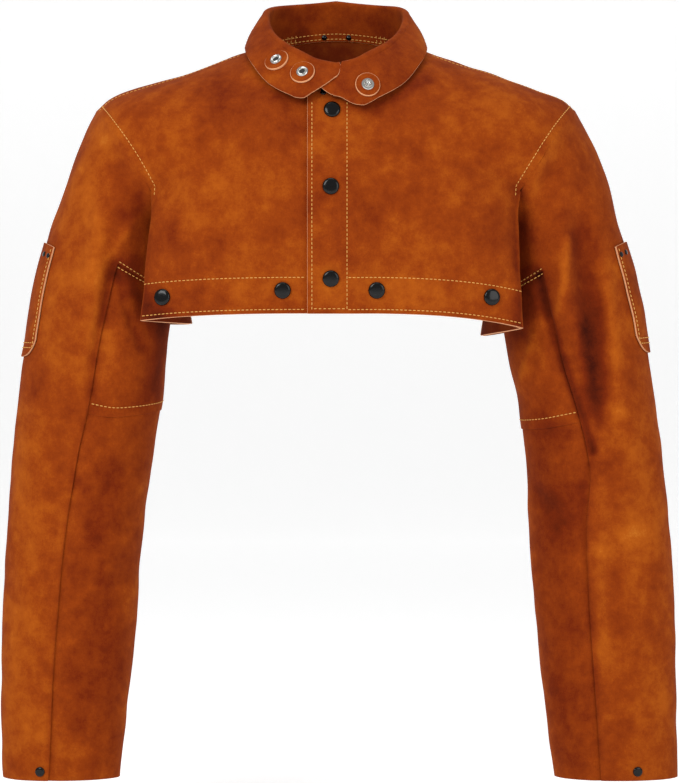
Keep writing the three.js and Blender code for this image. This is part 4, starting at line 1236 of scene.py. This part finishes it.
@dataclass
class Finishes:
    """All materials of the cape."""

    # Split cowhide, drum-dyed and buffed: a dull, clouded orange-brown that takes no highlight
    suede: bpy.types.Material = field(
        default_factory=lambda: Suede(
            "split_cowhide_suede", "#380A01", "#6C2203", "#893706", "#A5500D", "#C07322"
        ).build()
    )
    # The same hide's inner side: redder, as the flesh side is, and darker as painted shade for the inside of
    # the neck and sleeves
    flesh: bpy.types.Material = field(
        default_factory=lambda: Suede(
            "cowhide_flesh_side_painted_shade", "#350A02", "#571704", "#6E2507", "#883C0E", "#A25820"
        ).build()
    )
    # Raw cut edge, not dyed through: the thin pale line round hems, tabs and pockets
    cut: bpy.types.Material = field(
        default_factory=lambda: Plain("cut_leather_edge", "#C98250", "#DDA57A", 1.6, 0.9, bump_mm=0.2).build()
    )
    # Waxed twisted thread: golden dashes with a soft shine
    thread: bpy.types.Material = field(
        default_factory=lambda: Plain("waxed_aramid_thread", "#DFA552", "#C48A3C", 0.7, 0.75).build()
    )
    # Enamelled steel cap: near black, with one soft reflection of the lights
    black: bpy.types.Material = field(
        default_factory=lambda: Plain(
            "black_enamel_cap", "#010101", "#050505", 3.0, 0.14, bump_mm=0.01, specular=0.28
        ).build()
    )
    # Nickel-plated pressed brass: bright, slightly warm rings
    silver: bpy.types.Material = field(
        default_factory=lambda: Plain(
            "nickel_plated_brass", "#C9C8C4", "#A9A7A2", 1.4, 0.26, 1.0, 0.02
        ).build()
    )
    # The hole of an eyelet, seen as a dark dot
    dark: bpy.types.Material = field(
        default_factory=lambda: Plain("eyelet_shadow", "#1A1210", "#0E0A08", 1.0, 0.6).build()
    )

    def leather(self) -> tuple:
        """Materials of a leather sheet, in the order of Part.

        Returns:
            The materials.
        """
        return (self.suede, self.flesh, self.cut)


@dataclass
class Builder:
    """Adds finished pieces and hides the CAD nodes they stand for."""

    finishes: Finishes
    made: list[str] = field(default_factory=list)

    def place(self, obj: bpy.types.Object, slot: str, nodes: Sequence[str]) -> bpy.types.Object:
        """Rides the object on the one body and hides the nodes it stands for.

        Args:
            obj: the piece.
            slot: not used.
            nodes: CAD nodes that it stands for.
        Returns:
            The piece.
        """
        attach(obj, "root")
        if nodes:
            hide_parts(*nodes)
        self.made.append(obj.name)
        LOG.info("piece %s: %d faces", obj.name, len(obj.data.polygons))
        return obj

    def leather(self, name: str, sheet: Sheet, nodes: Sequence[str], **how) -> bpy.types.Object:
        """A finished leather sheet.

        Args:
            name: name to give it.
            sheet: the outer surface.
            nodes: CAD nodes that it stands for.
            how: thickness, and what Sheet.solid takes.
        Returns:
            The piece.
        """
        thick = how.pop("thick", 1.8)
        points, quads, kinds, tone = sheet.solid(thick, **how)
        obj = make_object(name, points, quads, kinds, self.finishes.leather(), tone=tone)
        self.place(obj, "leather", nodes)
        return obj

    def merged(
        self,
        name: str,
        parts: Sequence[tuple[Array, Array]],
        material: bpy.types.Material,
        slot: str,
        nodes: Sequence[str] = ()
    ) -> bpy.types.Object:
        """Several point and face sets as one object.

        Args:
            name: name to give it.
            parts: sets of points and faces.
            material: the one material.
            slot: passed on to Builder.place.
            nodes: CAD nodes that it stands for.
        Returns:
            The piece.
        """
        starts = np.cumsum([0] + [len(p) for p, _ in parts[:-1]])
        points = np.concatenate([p for p, _ in parts])
        faces = np.concatenate([f + n for (_, f), n in zip(parts, starts)])
        obj = make_object(name, points, faces, None, [material], sharp=40)
        return self.place(obj, slot, nodes)


def columns(low: float, high: float, count: int) -> Array:
    """Evenly spaced places.

    Args:
        low: lowest value.
        high: highest value.
        count: how many.
    Returns:
        The places.
    """
    return np.linspace(low, high, count)


@dataclass
class Body:
    """Fronts, back, placket facing and hem facings with their stitching."""

    shape: BodyShape
    build: Builder
    rows_low: int = 60
    rows_high: int = 60
    across: int = 96
    round_columns: int = 26
    hem_band: float = 33.0
    soften_rounds: int = 14
    soften_pull: float = 0.6
    soften_columns: float = 7.0

    def levels(self) -> Array:
        """Levels of the rows, closer towards the shoulder.

        Returns:
            The levels.
        """
        return np.concatenate([columns(0, 1, self.rows_low), 1 + columns(0, 1, self.rows_high)[1:]])

    def softened(self, main: Array, wrap: Array) -> tuple[Array, Array]:
        """Rounds the fold between a panel and its side by averaging along the rows near it, less towards
        the armhole.

        Args:
            main: grid of the panel.
            wrap: grid of the side.
        Returns:
            Both grids, rounded.
        """
        low = self.rows_low
        both = np.concatenate([main[:low], wrap[:, 1:]], axis=1)
        corner = main.shape[1] - 1
        index = np.arange(both.shape[1])
        near = np.exp(-(((index - corner) / self.soften_columns) ** 2))[None, :, None]
        fade = (1 - smooth(0.8, 1.0, columns(0, 1, low)))[:, None, None]
        for _ in range(self.soften_rounds):
            mean = both.copy()
            mean[:, 1:-1] = (both[:, :-2] + both[:, 2:]) / 2
            both = both + (mean - both) * near * fade * self.soften_pull
        main = main.copy()
        main[:low] = both[:, : corner + 1]
        return main, both[:, corner:]

    def front(self, side: float, past: float, lifted: bool) -> Sheet:
        """One front with its side under the arm.

        Args:
            side: -1 for the wearer's right, 1 for the left.
            past: how far it runs past the middle, in millimetres.
            lifted: whether it lies over the placket.
        Returns:
            The sheet.
        """
        s = self.shape
        levels = self.levels()[:, None]
        edge = s.edge(levels, np.full(levels.shape, side), Face.FRONT)[..., 0]
        share = columns(0, 1, self.across)[None, :]
        out = np.concatenate(
            [np.repeat(columns(-past, 0, 18)[None, :-1], len(levels), 0), share * edge], axis=1
        ) * side
        level = np.broadcast_to(levels, out.shape)
        main = s.point(out, level, Face.FRONT)
        if lifted:
            wide = out < s.placket_width + s.placket_ease
            raised = s.lifted(out, level, s.placket_lift(out))
            main = np.where(wide[..., None], raised, main)
        wrap = s.wrap(
            columns(0, 1, self.round_columns)[None, :],
            columns(0, 1, self.rows_low)[:, None],
            side,
            Face.FRONT
        )
        main, wrap = self.softened(main, wrap)
        flip = side < 0
        return Sheet.joined([Sheet.grid(main, flip=flip), Sheet.grid(wrap, flip=flip)])

    def back(self) -> Sheet:
        """The back with both sides under the arms.

        Returns:
            The sheet.
        """
        s = self.shape
        levels = self.levels()[:, None]
        sheets = []
        for side in (-1.0, 1.0):
            edge = s.edge(levels, np.full(levels.shape, side), Face.BACK)[..., 0]
            out = columns(0, 1, self.across)[None, :] * edge * side
            main = s.point(out, np.broadcast_to(levels, out.shape), Face.BACK)
            wrap = s.wrap(
                columns(0, 1, self.round_columns)[None, :],
                columns(0, 1, self.rows_low)[:, None],
                side,
                Face.BACK
            )
            main, wrap = self.softened(main, wrap)
            sheets += [Sheet.grid(main, flip=side > 0), Sheet.grid(wrap, flip=side > 0)]
        return Sheet.joined(sheets)

    def part_of(self, sheet: Sheet, low: float, high: float, left: float, right: float) -> Sheet:
        """The quads of a sheet whose middle lies in a height and width range.

        Args:
            sheet: the outer surface.
            low: lowest value.
            high: highest value.
            left: least distance from the middle.
            right: greatest distance from the middle.
        Returns:
            The sheet.
        """
        middle = sheet.points[sheet.quads].mean(axis=1)
        keep = (middle[:, 2] > low) & (middle[:, 2] < high) & (middle[:, 0] > left) & (middle[:, 0] < right)
        return Sheet(sheet.points, sheet.quads[keep]).tidy()

    def hem_cut(self, middles: Array) -> Array:
        """Rim edges that show the pale cut: the hem, and the lapped edge of the placket.

        Args:
            middles: (n, 3) middles of the rim edges.
        Returns:
            Mask of the pale edges.
        """
        low = middles[:, 2] < -self.shape.back_hem_down + 1.0
        lapped = np.abs(middles[:, 0] + self.shape.placket_over) < 0.8
        return low | (lapped & (middles[:, 1] < 0))

    def line(
        self, out: Array, up: Array, lifted: bool = False, face: Face = Face.FRONT
    ) -> tuple[Array, Array]:
        """Points and normals of a line drawn on the front or back, on top of the hide's relief.

        Args:
            out: distances from the middle in millimetres, + to the wearer's left.
            up: heights in millimetres.
            lifted: whether it lies over the placket.
            face: front or back.
        Returns:
            Points and normals.
        """
        s = self.shape
        normal = s.normal_at(out, up, face)
        point = s.at(out, up, face)
        lift = s.placket_lift(out) if lifted else np.zeros(out.shape)
        return point + normal * (hide(point, normal, RELIEF, RELIEF_SEED)[0] + lift)[:, None], normal

    def make(self) -> None:
        """Builds the body's pieces and stitches."""
        s, thread = self.shape, Thread()
        right, left, back = self.front(-1.0, 9.0, False), self.front(1.0, s.placket_over, True), self.back()
        hem = self.hem_cut
        self.build.leather("front_right_leather", right, ["front_panel_right"], cut=hem)
        self.build.leather("front_left_leather", left, ["front_panel_left"], cut=hem)
        self.build.leather("back_leather", back, ["back_panel"], cut=hem)
        for name, panel, node, span in (
            ("hem_facing_right_leather", right, "hem_facing_right", (-400, -11)),
            ("hem_facing_left_leather", left, "hem_facing_left", (12, 400)),
            ("hem_facing_back_leather", back, "hem_facing_back", (-400, 400)),
        ):
            strip = self.part_of(panel, -300, -s.hem_down + self.hem_band, *span)
            shift = -2.6 if "back" in name else -2.1
            self.build.leather(name, strip, [node], thick=1.5, shift=shift, cut=hem)
        out = np.broadcast_to(
            columns(-s.placket_over, s.placket_width - s.placket_over, 24)[None, :], (119, 24)
        )
        level = np.broadcast_to(self.levels()[:, None], out.shape)
        facing = Sheet.grid(s.lifted(out, level, np.full(out.shape, 2.0)))
        self.build.leather("placket_facing_leather", facing, ["placket_facing"], thick=1.6, cut=hem)
        rows = []
        n = 400
        for side, start, lifted in ((-1.0, 28.0, False), (1.0, 11.0, True)):
            share = columns(start / 178, 0.985, n)
            half = s.hem_half[0] if side < 0 else s.hem_half[1]
            hem = s.hem_up(share, np.full(n, side), Face.FRONT)
            for above in (3.6, self.hem_band):
                edge = np.interp(above / (s.hem_down - 135), [0, 1], [half, 177])
                rows.append(thread.row(*self.line(side * share * edge, hem + above, lifted)))
            ridge = columns(90, 224, n) * side
            rows.append(thread.row(*self.line(ridge, s.ridge_up(ridge, Face.FRONT) - 4.0)))
            levels = columns(0.93, 1.93, n)
            for face in Face:
                edge = s.edge(levels, np.full(n, side), face)[:, 0]
                point = s.point(side * (edge - 5.0), levels, face)
                rows.append(thread.row(*self.line(point[:, 0], point[:, 2], face=face)))
            reach = half - 7.0
            hem = s.hem_up(share * reach / half, np.full(n, side), Face.BACK)
            for above in (3.6, self.hem_band):
                rows.append(
                    thread.row(*self.line(side * columns(1.5, reach, n), hem + above, face=Face.BACK))
                )
        down = columns(-50, -240, n)
        rows.append(thread.row(*self.line(np.full(n, -22.0), down, True)))
        rows.append(thread.row(*self.line(np.full(n, 10.2), columns(-46, -239.5, n), True)))
        low = columns(-21, 9, 60)
        rows.append(thread.row(*self.line(low, np.full(60, -238.6), True)))
        self.build.merged("body_stitching", rows, self.build.finishes.thread, "leather")


@dataclass
class Sleeve:
    """One sleeve: outer piece, gusset, forearm piece, pocket and stitching."""

    shape: SleeveShape
    build: Builder
    word: str
    rows: int = 190
    outer_columns: int = 44
    inner_columns: int = 26
    pocket_from: float = 0.17
    pocket_long: float = 0.142
    pocket_corner: float = 0.024
    pocket_half_angle: float = 37.0

    def whole(self) -> tuple[Array, Array, Array]:
        """Grid of the whole sleeve: points, places along it, and for each column its share past the seam.

        Returns:
            Points, places and shares.
        """
        at = columns(0.0, 1.0, self.rows)
        seam = self.shape.seam(at)[:, None]
        half = np.concatenate(
            [columns(0, 1, self.outer_columns), 1 + columns(0, 1, self.inner_columns)[1:]]
        )
        angle = np.where(half <= 1, seam * half, seam + (180 - seam) * (half - 1))
        full = np.concatenate([angle, 360 - angle[:, -2:0:-1]], axis=1)
        return self.shape.point(full, at[:, None]), at, np.concatenate([half, half[-2:0:-1]])

    def make(self) -> None:
        """Builds the sleeve's pieces and stitches."""
        shape, thread = self.shape, Thread()
        flip = shape.side < 0
        points, at, half = self.whole()
        middle_at = (at[:-1] + at[1:]) / 2
        following = np.roll(half, -1)
        is_outer = ((half + following) / 2 < 1)[None, :] | (middle_at < shape.gusset_top)[:, None]
        outer = Sheet.grid(points, closed=True, flip=flip, keep=is_outer)
        self.build.leather(f"sleeve_{self.word}_outer_leather", outer, [f"sleeve_outer_{self.word}"])
        across = columns(0, 1, 110)[None, :]
        turn = 1 - np.abs(2 * across - 1)
        low_edge = shape.lap_at(turn)
        down = columns(0, 1, 120)[:, None]
        tuck = 1 - smooth(0.0, 0.1, np.minimum(across, 1 - across))
        for kind, start, end in (
            ("gusset", shape.gusset_top - 0.006, low_edge + 0.014), ("forearm", low_edge - 0.012, 1.0)
        ):
            place = start + (end - start) * down
            seam = shape.seam(place) - 4.0
            grid = shape.point(seam + (360 - 2 * seam) * across, place)
            top = 1 - smooth(0.0, 0.03, place - start)
            shift = -0.35 - 2.0 * np.maximum(tuck, top)
            if kind == "gusset":
                shift = shift + 1.1 * smooth(-0.03, 0.01, place - low_edge) * (1 - tuck)
            name = f"sleeve_{self.word}_{kind}_leather"
            sheet = Sheet.grid(grid, flip=flip)
            self.build.leather(name, sheet, [f"sleeve_{kind}_{self.word}"], shift=shift.reshape(-1))
        across = columns(-1, 1, 44)[None, :]
        deep = columns(0, 1, 60)[:, None]
        place = self.pocket_from + deep * (self.pocket_long - self.pocket_corner * across**6)
        pocket = Sheet.grid(shape.point(self.pocket_half_angle * across, place), flip=flip)
        self.build.leather(
            f"pocket_{self.word}_leather",
            pocket,
            [f"sleeve_pocket_{self.word}"],
            shift=2.6,
            cut=lambda middles: middles[:, 1] < 1e3
        )
        rows = []
        n = 300
        for place in (shape.gusset_top + 0.004, shape.gusset_top - 0.006):
            a = np.full(n, place)
            rows.append(self.line(shape.seam(a) + columns(0, 62, n), a, 0.0))
        turn = columns(0.02, 1.0, n)
        lap = shape.lap_at(turn) - 0.001
        rows.append(self.line(shape.seam(lap) + (180 - shape.seam(lap)) * turn, lap, 0.75))
        edge = columns(0.02, 0.98, n)
        for sign in (-1, 1):
            rows.append(self.line(np.full(n, 34.5 * sign), self.pocket_from + 0.133 * edge, 2.75))
        for depth in (0.122, 0.129):
            rows.append(self.line(columns(-33, 33, n), np.full(n, self.pocket_from + depth), 2.75))
        stitches = [thread.row(*row) for row in rows]
        self.build.merged(f"sleeve_{self.word}_stitching", stitches, self.build.finishes.thread, "leather")

    def line(self, angle: Array, at: Array, lift: float) -> tuple[Array, Array]:
        """Points and normals of a line on the sleeve, on top of the hide's relief.

        Args:
            angle: degrees: 0 outside, 90 in front, 180 inside.
            at: places along the sleeve, 0 to 1.
            lift: height over the surface in millimetres.
        Returns:
            Points and normals.
        """
        point, normal = self.shape.point(angle, at), self.shape.normal(angle, at)
        return point + normal * (hide(point, normal, RELIEF, RELIEF_SEED)[0] + lift)[:, None], normal


# Turned profiles as rows of (radius, height): stud and eyelet in millimetres, cap as shares of its size
STUD_PROFILE = (
    (0, 0), (5.6, 0), (5.8, 0.5), (5.2, 1.1), (3.6, 1.2), (3.2, 1.6),
    (3.2, 3.0), (2.8, 3.5), (2.3, 3.4), (1.8, 2.5), (1.1, 2.1), (0, 2.0),
)
EYELET_PROFILE = (
    (2.3, 0), (5.4, 0), (5.5, 0.5), (4.9, 1.3), (3.9, 1.7), (3.0, 1.4), (2.4, 0.7), (2.3, 0),
)
CAP_PROFILE = (
    (0, -0.25), (0.93, -0.25), (1, 0.05), (1, 0.35), (0.94, 0.62),
    (0.84, 0.8), (0.7, 0.9), (0.5, 0.96), (0.25, 0.99), (0, 1.0),
)


@dataclass
class Collar:
    """The collar strip with its snaps, patches, rivets and inner stitching."""

    shape: CollarShape
    build: Builder
    steps: int = 260
    thick: float = 1.8
    snaps: tuple[tuple[str, str, float, float], ...] = (
        ("collar_patch_1", "collar_eyelet_1", 40.5, 0.38),
        ("collar_patch_2", "collar_eyelet_2", 19.0, 0.34),
        ("collar_patch_3", "collar_stud", 345.5, 0.6),
    )

    def inside(self, angle: Array, strip: Array) -> tuple[Array, Array]:
        """Points and normals on the side of the stand that faces the neck.

        Args:
            angle: degrees from the front centre, 180 at the back.
            strip: places across the strip, 0 to 3.
        Returns:
            Points and normals.
        """
        normal = -self.shape.away(angle)
        point = self.shape.point(angle, strip) + normal * self.thick
        return point + normal * hide(point, normal, COLLAR_RELIEF, COLLAR_SEED)[0][:, None], normal

    def make(self) -> None:
        """Builds the collar's pieces."""
        s = self.shape
        strip = np.concatenate(
            [columns(0, 1, 16), 1 + columns(0, 1, 15)[1:], 2 + columns(0, 1, 34)[1:]]
        )[:, None]
        start = along(s.strip, s.right_ends, strip)
        end = 360 - along(s.strip, s.left_ends, strip)
        angle = start + (end - start) * columns(0, 1, self.steps)[None, :]
        sheet = Sheet.grid(s.point(angle, strip))
        cut = lambda middles: middles[:, 1] < 1e3
        self.build.leather(
            "collar_leather",
            sheet,
            ["collar"],
            height=COLLAR_RELIEF,
            seed=COLLAR_SEED,
            shift=self.thick,
            cut=cut,
        )
        f = self.build.finishes
        for patch, part, where, down in self.snaps:
            centre, normal = s.frame(where, 2 + down)
            rise = hide(centre[None], normal[None], COLLAR_RELIEF, COLLAR_SEED)[0][0]
            centre = centre + normal * (self.thick + rise)
            disc = np.array([[0, -1.5], [10.6, -1.5], [11.5, -0.6], [11.5, 0.7], [11.0, 1.25], [0, 1.45]])
            points, faces = revolve(disc, centre + normal * 0.6, normal)
            # The patches take the painted shade and highlight of the folds they lie over, as if facing the
            # front
            _, tone = creased(points, np.tile([0.0, -1.0, 0.0], (len(points), 1)))
            obj = make_object(
                f"{patch}_leather", points, faces, None, [f.cut, f.suede], sharp=40, tone=tone
            )
            middle = points[faces].mean(axis=1) - centre
            radius = np.linalg.norm(middle - (middle @ normal)[:, None] * normal, axis=1)
            obj.data.polygons.foreach_set("material_index", (radius < 10.4).astype(np.int32))
            self.build.place(obj, "leather", [patch])
            top = centre + normal * 2.0
            if part == "collar_stud":
                profile = np.array(STUD_PROFILE)
            else:
                profile = np.array(EYELET_PROFILE)
                hole = np.array([[0, 0.0], [2.35, 0.0], [2.35, 0.25], [0, 0.25]])
                self.build.merged(f"{part}_hole", [revolve(hole, top, normal, 24)], f.dark, "bright_metal")
            self.build.merged(
                f"{part}_metal", [revolve(profile, top, normal)], f.silver, "bright_metal", [part]
            )
        thread, n = Thread(), 300
        rows = []
        for place in (0.05, 0.19):
            angle = columns(112, 248, n)
            rows.append(thread.row(*self.inside(angle, np.full(n, place))))
        for where in (139.0, 143.0, 147.0, 213.0, 217.0, 221.0):
            rows.append(thread.row(*self.inside(np.full(24, where), columns(0.04, 0.26, 24))))
        self.build.merged("collar_stitching", rows, f.thread, "leather")
        for where, name in ((171.0, "neck_rivet_1"), (189.5, "neck_rivet_2")):
            point, normal = (found[0] for found in self.inside(np.array([where]), np.array([0.1])))
            profile = np.array([[0, 0], [2.6, 0], [2.5, 0.8], [1.5, 1.5], [0, 1.7]])
            self.build.merged(
                f"{name}_metal",
                [revolve(profile, point + normal * 0.1, normal, 24)],
                f.black,
                "black_metal",
                [name]
            )


@dataclass
class Snaps:
    """Enamelled snap caps and rivets."""

    body: Body
    build: Builder
    sleeves: tuple[Sleeve, Sleeve]
    caps: tuple[tuple[str, float, float], ...] = (
        ("placket_snap_1", -3.5, -57.0),
        ("placket_snap_2", -4.6, -127.0),
        ("placket_snap_3", -4.6, -211.0),
        ("hem_snap_1", -160.0, -228.0),
        ("hem_snap_2", -49.0, -222.0),
        ("hem_snap_3", 37.5, -222.0),
        ("hem_snap_4", 143.5, -228.0),
    )

    def cap(self, radius: float, height: float) -> Array:
        """Profile of a domed cap with a pressed rim.

        Args:
            radius: radius in millimetres.
            height: height in millimetres.
        Returns:
            Rows of radius and height.
        """
        return np.array(CAP_PROFILE) * [radius, height]

    def make(self) -> None:
        """Builds caps and rivets."""
        black = self.build.finishes.black
        for name, out, up in self.caps:
            point, normal = self.body.line(
                np.array([out]), np.array([up]), out > -30 and "placket" in name or out > 0
            )
            self.build.merged(
                f"{name}_cap",
                [revolve(self.cap(7.7, 3.0), point[0] + normal[0] * 0.35, normal[0])],
                black,
                "black_metal",
                [name]
            )
        point, normal = self.body.line(np.array([-11.5]), np.array([-41.0]), True)
        cap = revolve(self.cap(3.0, 1.4), point[0] + normal[0] * 0.2, normal[0])
        self.build.merged("placket_top_snap_cap", [cap], black, "black_metal", ["placket_top_snap"])
        for sleeve in self.sleeves:
            word = sleeve.word
            point, normal = sleeve.line(np.array([72.0]), np.array([0.985]), 0.2)
            cap = revolve(self.cap(4.6, 2.0), point[0], normal[0])
            self.build.merged(f"cuff_snap_{word}_cap", [cap], black, "black_metal", [f"cuff_snap_{word}"])
            for n, angle in ((1, 33.0), (2, 23.0)):
                point, normal = sleeve.line(np.array([angle]), np.array([0.182]), 2.8)
                rivet = revolve(self.cap(2.5, 1.3), point[0], normal[0], 24)
                node = f"pocket_rivet_{word}_{n}"
                self.build.merged(f"{node}_cap", [rivet], black, "black_metal", [node])


@dataclass(frozen=True)
class Studio:
    """Pale floor and backdrop, soft light, camera at the photo's angle."""

    distance: float = 3.0
    view_height: float = 0.7439
    centre: tuple[float, float] = (0.0033, -0.3149)
    floor: float = -0.72
    backdrop_glow: float = 0.31

    def make(self) -> None:
        """Adds floor, lights and camera."""
        material, tree, shader = new_material("pale_backdrop_paper")
        shader.inputs["Base Color"].default_value = srgb("#F7F7F7")
        shader.inputs["Roughness"].default_value = 0.95
        shader.inputs["Emission Color"].default_value = (1.0, 1.0, 1.0, 1.0)
        shader.inputs["Emission Strength"].default_value = self.backdrop_glow
        turn = np.radians(columns(0, 90, 24))
        y = np.concatenate([[-9.0], 5.5 + 1.5 * np.sin(turn), [7.0]])
        z = np.concatenate([[0.0], 1.5 - 1.5 * np.cos(turn), [9.0]]) + self.floor
        x = np.array([-9.0, 9.0])
        points = np.stack(np.broadcast_arrays(x[None, :], y[:, None], z[:, None]), axis=-1) / MM
        sheet = Sheet.grid(points)
        backdrop = make_object("floor_backdrop", sheet.points, sheet.quads, None, [material])
        world = bpy.data.worlds.new("studio_air")
        bpy.context.scene.world = world
        world.use_nodes = True
        world.node_tree.nodes["Background"].inputs[0].default_value = (1, 1, 1, 1)
        world.node_tree.nodes["Background"].inputs[1].default_value = 0.5
        for name, place, size, power in (
            ("key_softbox", (-1.5, -2.2, 1.2), 1.4, 42.0),
            ("fill_softbox", (1.9, -2.1, 0.4), 1.6, 20.0),
            ("top_softbox", (0.0, -0.3, 2.3), 1.6, 18.0),
        ):
            light = bpy.data.lights.new(name, "AREA")
            light.shape, light.size, light.energy = "SQUARE", size, power
            lamp = bpy.data.objects.new(name, light)
            bpy.context.scene.collection.objects.link(lamp)
            lamp.location = place
            aim = np.array([0.0, 0.0, -0.3]) - np.array(place)
            lamp.rotation_euler = (
                math.acos(-aim[2] / np.linalg.norm(aim)), 0, math.atan2(aim[1], aim[0]) - math.pi / 2
            )
        camera = bpy.data.cameras.new("camera")
        camera.sensor_width = 36.0
        camera.lens = 36.0 * self.distance / self.view_height
        seen = bpy.data.objects.new("camera", camera)
        bpy.context.scene.collection.objects.link(seen)
        seen.location = (self.centre[0], -self.distance, self.centre[1])
        seen.rotation_euler = (math.pi / 2, 0, 0)
        camera.clip_end = 50
        bpy.context.scene.camera = seen
        bpy.context.scene.view_settings.view_transform = "Standard"


RIGHT_ROWS = (
    (1.04, 0.027, 0.565, 0.201, 0.99),
    (1.093, 0.071, 0.655, 0.228, 0.97),
    (1.15, 0.128, 0.75, 0.256, 0.945),
    (1.203, 0.192, 0.843, 0.284, 0.92),
    (1.251, 0.257, 0.927, 0.314, 0.9),
    (1.295, 0.338, 0.978, 0.353, 0.88),
    (1.33, 0.434, 0.996, 0.434, 0.865),
    (1.352, 0.512, 0.978, 0.51, 0.845),
    (1.37, 0.596, 0.956, 0.596, 0.81),
    (1.385, 0.683, 0.942, 0.683, 0.77),
    (1.399, 0.786, 0.927, 0.786, 0.72),
    (1.401, 0.873, 0.89, 0.873, 0.67),
    (1.389, 1.0, 0.801, 1.0, 0.6),
)
LEFT_ROWS = (
    (1.045, 0.029, 0.57, 0.201, 0.99),
    (1.097, 0.07, 0.655, 0.228, 0.97),
    (1.145, 0.118, 0.74, 0.256, 0.945),
    (1.193, 0.19, 0.825, 0.284, 0.92),
    (1.24, 0.245, 0.9, 0.318, 0.9),
    (1.288, 0.321, 0.95, 0.356, 0.88),
    (1.335, 0.434, 0.95, 0.434, 0.865),
    (1.364, 0.508, 0.95, 0.508, 0.845),
    (1.388, 0.6, 0.968, 0.6, 0.81),
    (1.404, 0.686, 0.974, 0.686, 0.77),
    (1.42, 0.79, 0.96, 0.79, 0.72),
    (1.425, 0.88, 0.92, 0.88, 0.67),
    (1.425, 1.0, 0.852, 1.0, 0.6),
)
RIGHT_FOLDS = (
    Fold(0.09, 0.4, 100, -6, 11, -5),
    Fold(0.04, 0.36, 78, 4, 12, 4),
    Fold(0.34, 0.62, 66, 16, 16, -3),
)
LEFT_FOLDS = (
    Fold(0.04, 0.5, 70, 4, 10, -6),
    Fold(0.08, 0.34, 92, 4, 11, 5),
    Fold(0.14, 0.44, 118, -24, 11, -5),
)


def left_shape(body: BodyShape) -> SleeveShape:
    """The wearer's left sleeve, whose long seam and lapped seam run lower and further in.

    Args:
        body: shape of the body.
    Returns:
        The sleeve's shape.
    """
    return SleeveShape(
        1.0,
        LEFT_ROWS,
        LEFT_FOLDS,
        body,
        seam_keys=(0.0, 0.15, 0.3, 0.408, 0.5, 0.58, 0.7, 1.0),
        seam_angles=(118.0, 112.0, 109.0, 102.0, 98.0, 103.0, 105.0, 106.0),
        lap=0.408,
        lap_turns=(0.0, 0.4, 0.74, 1.0),
        lap_bends=(-0.008, 0.003, 0.006, 0.0054),
    )


def main() -> None:
    """Builds every piece in order."""
    builder = Builder(Finishes())
    shape = BodyShape()
    body = Body(shape, builder)
    body.make()
    right = Sleeve(SleeveShape(-1.0, RIGHT_ROWS, RIGHT_FOLDS, shape), builder, "right")
    left = Sleeve(left_shape(shape), builder, "left")
    right.make()
    left.make()
    Collar(CollarShape(shape), builder).make()
    Snaps(body, builder, (right, left)).make()
    Studio().make()
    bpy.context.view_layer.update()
    LOG.info("%d pieces", len(builder.made))


if __name__ == "__main__":
    main()
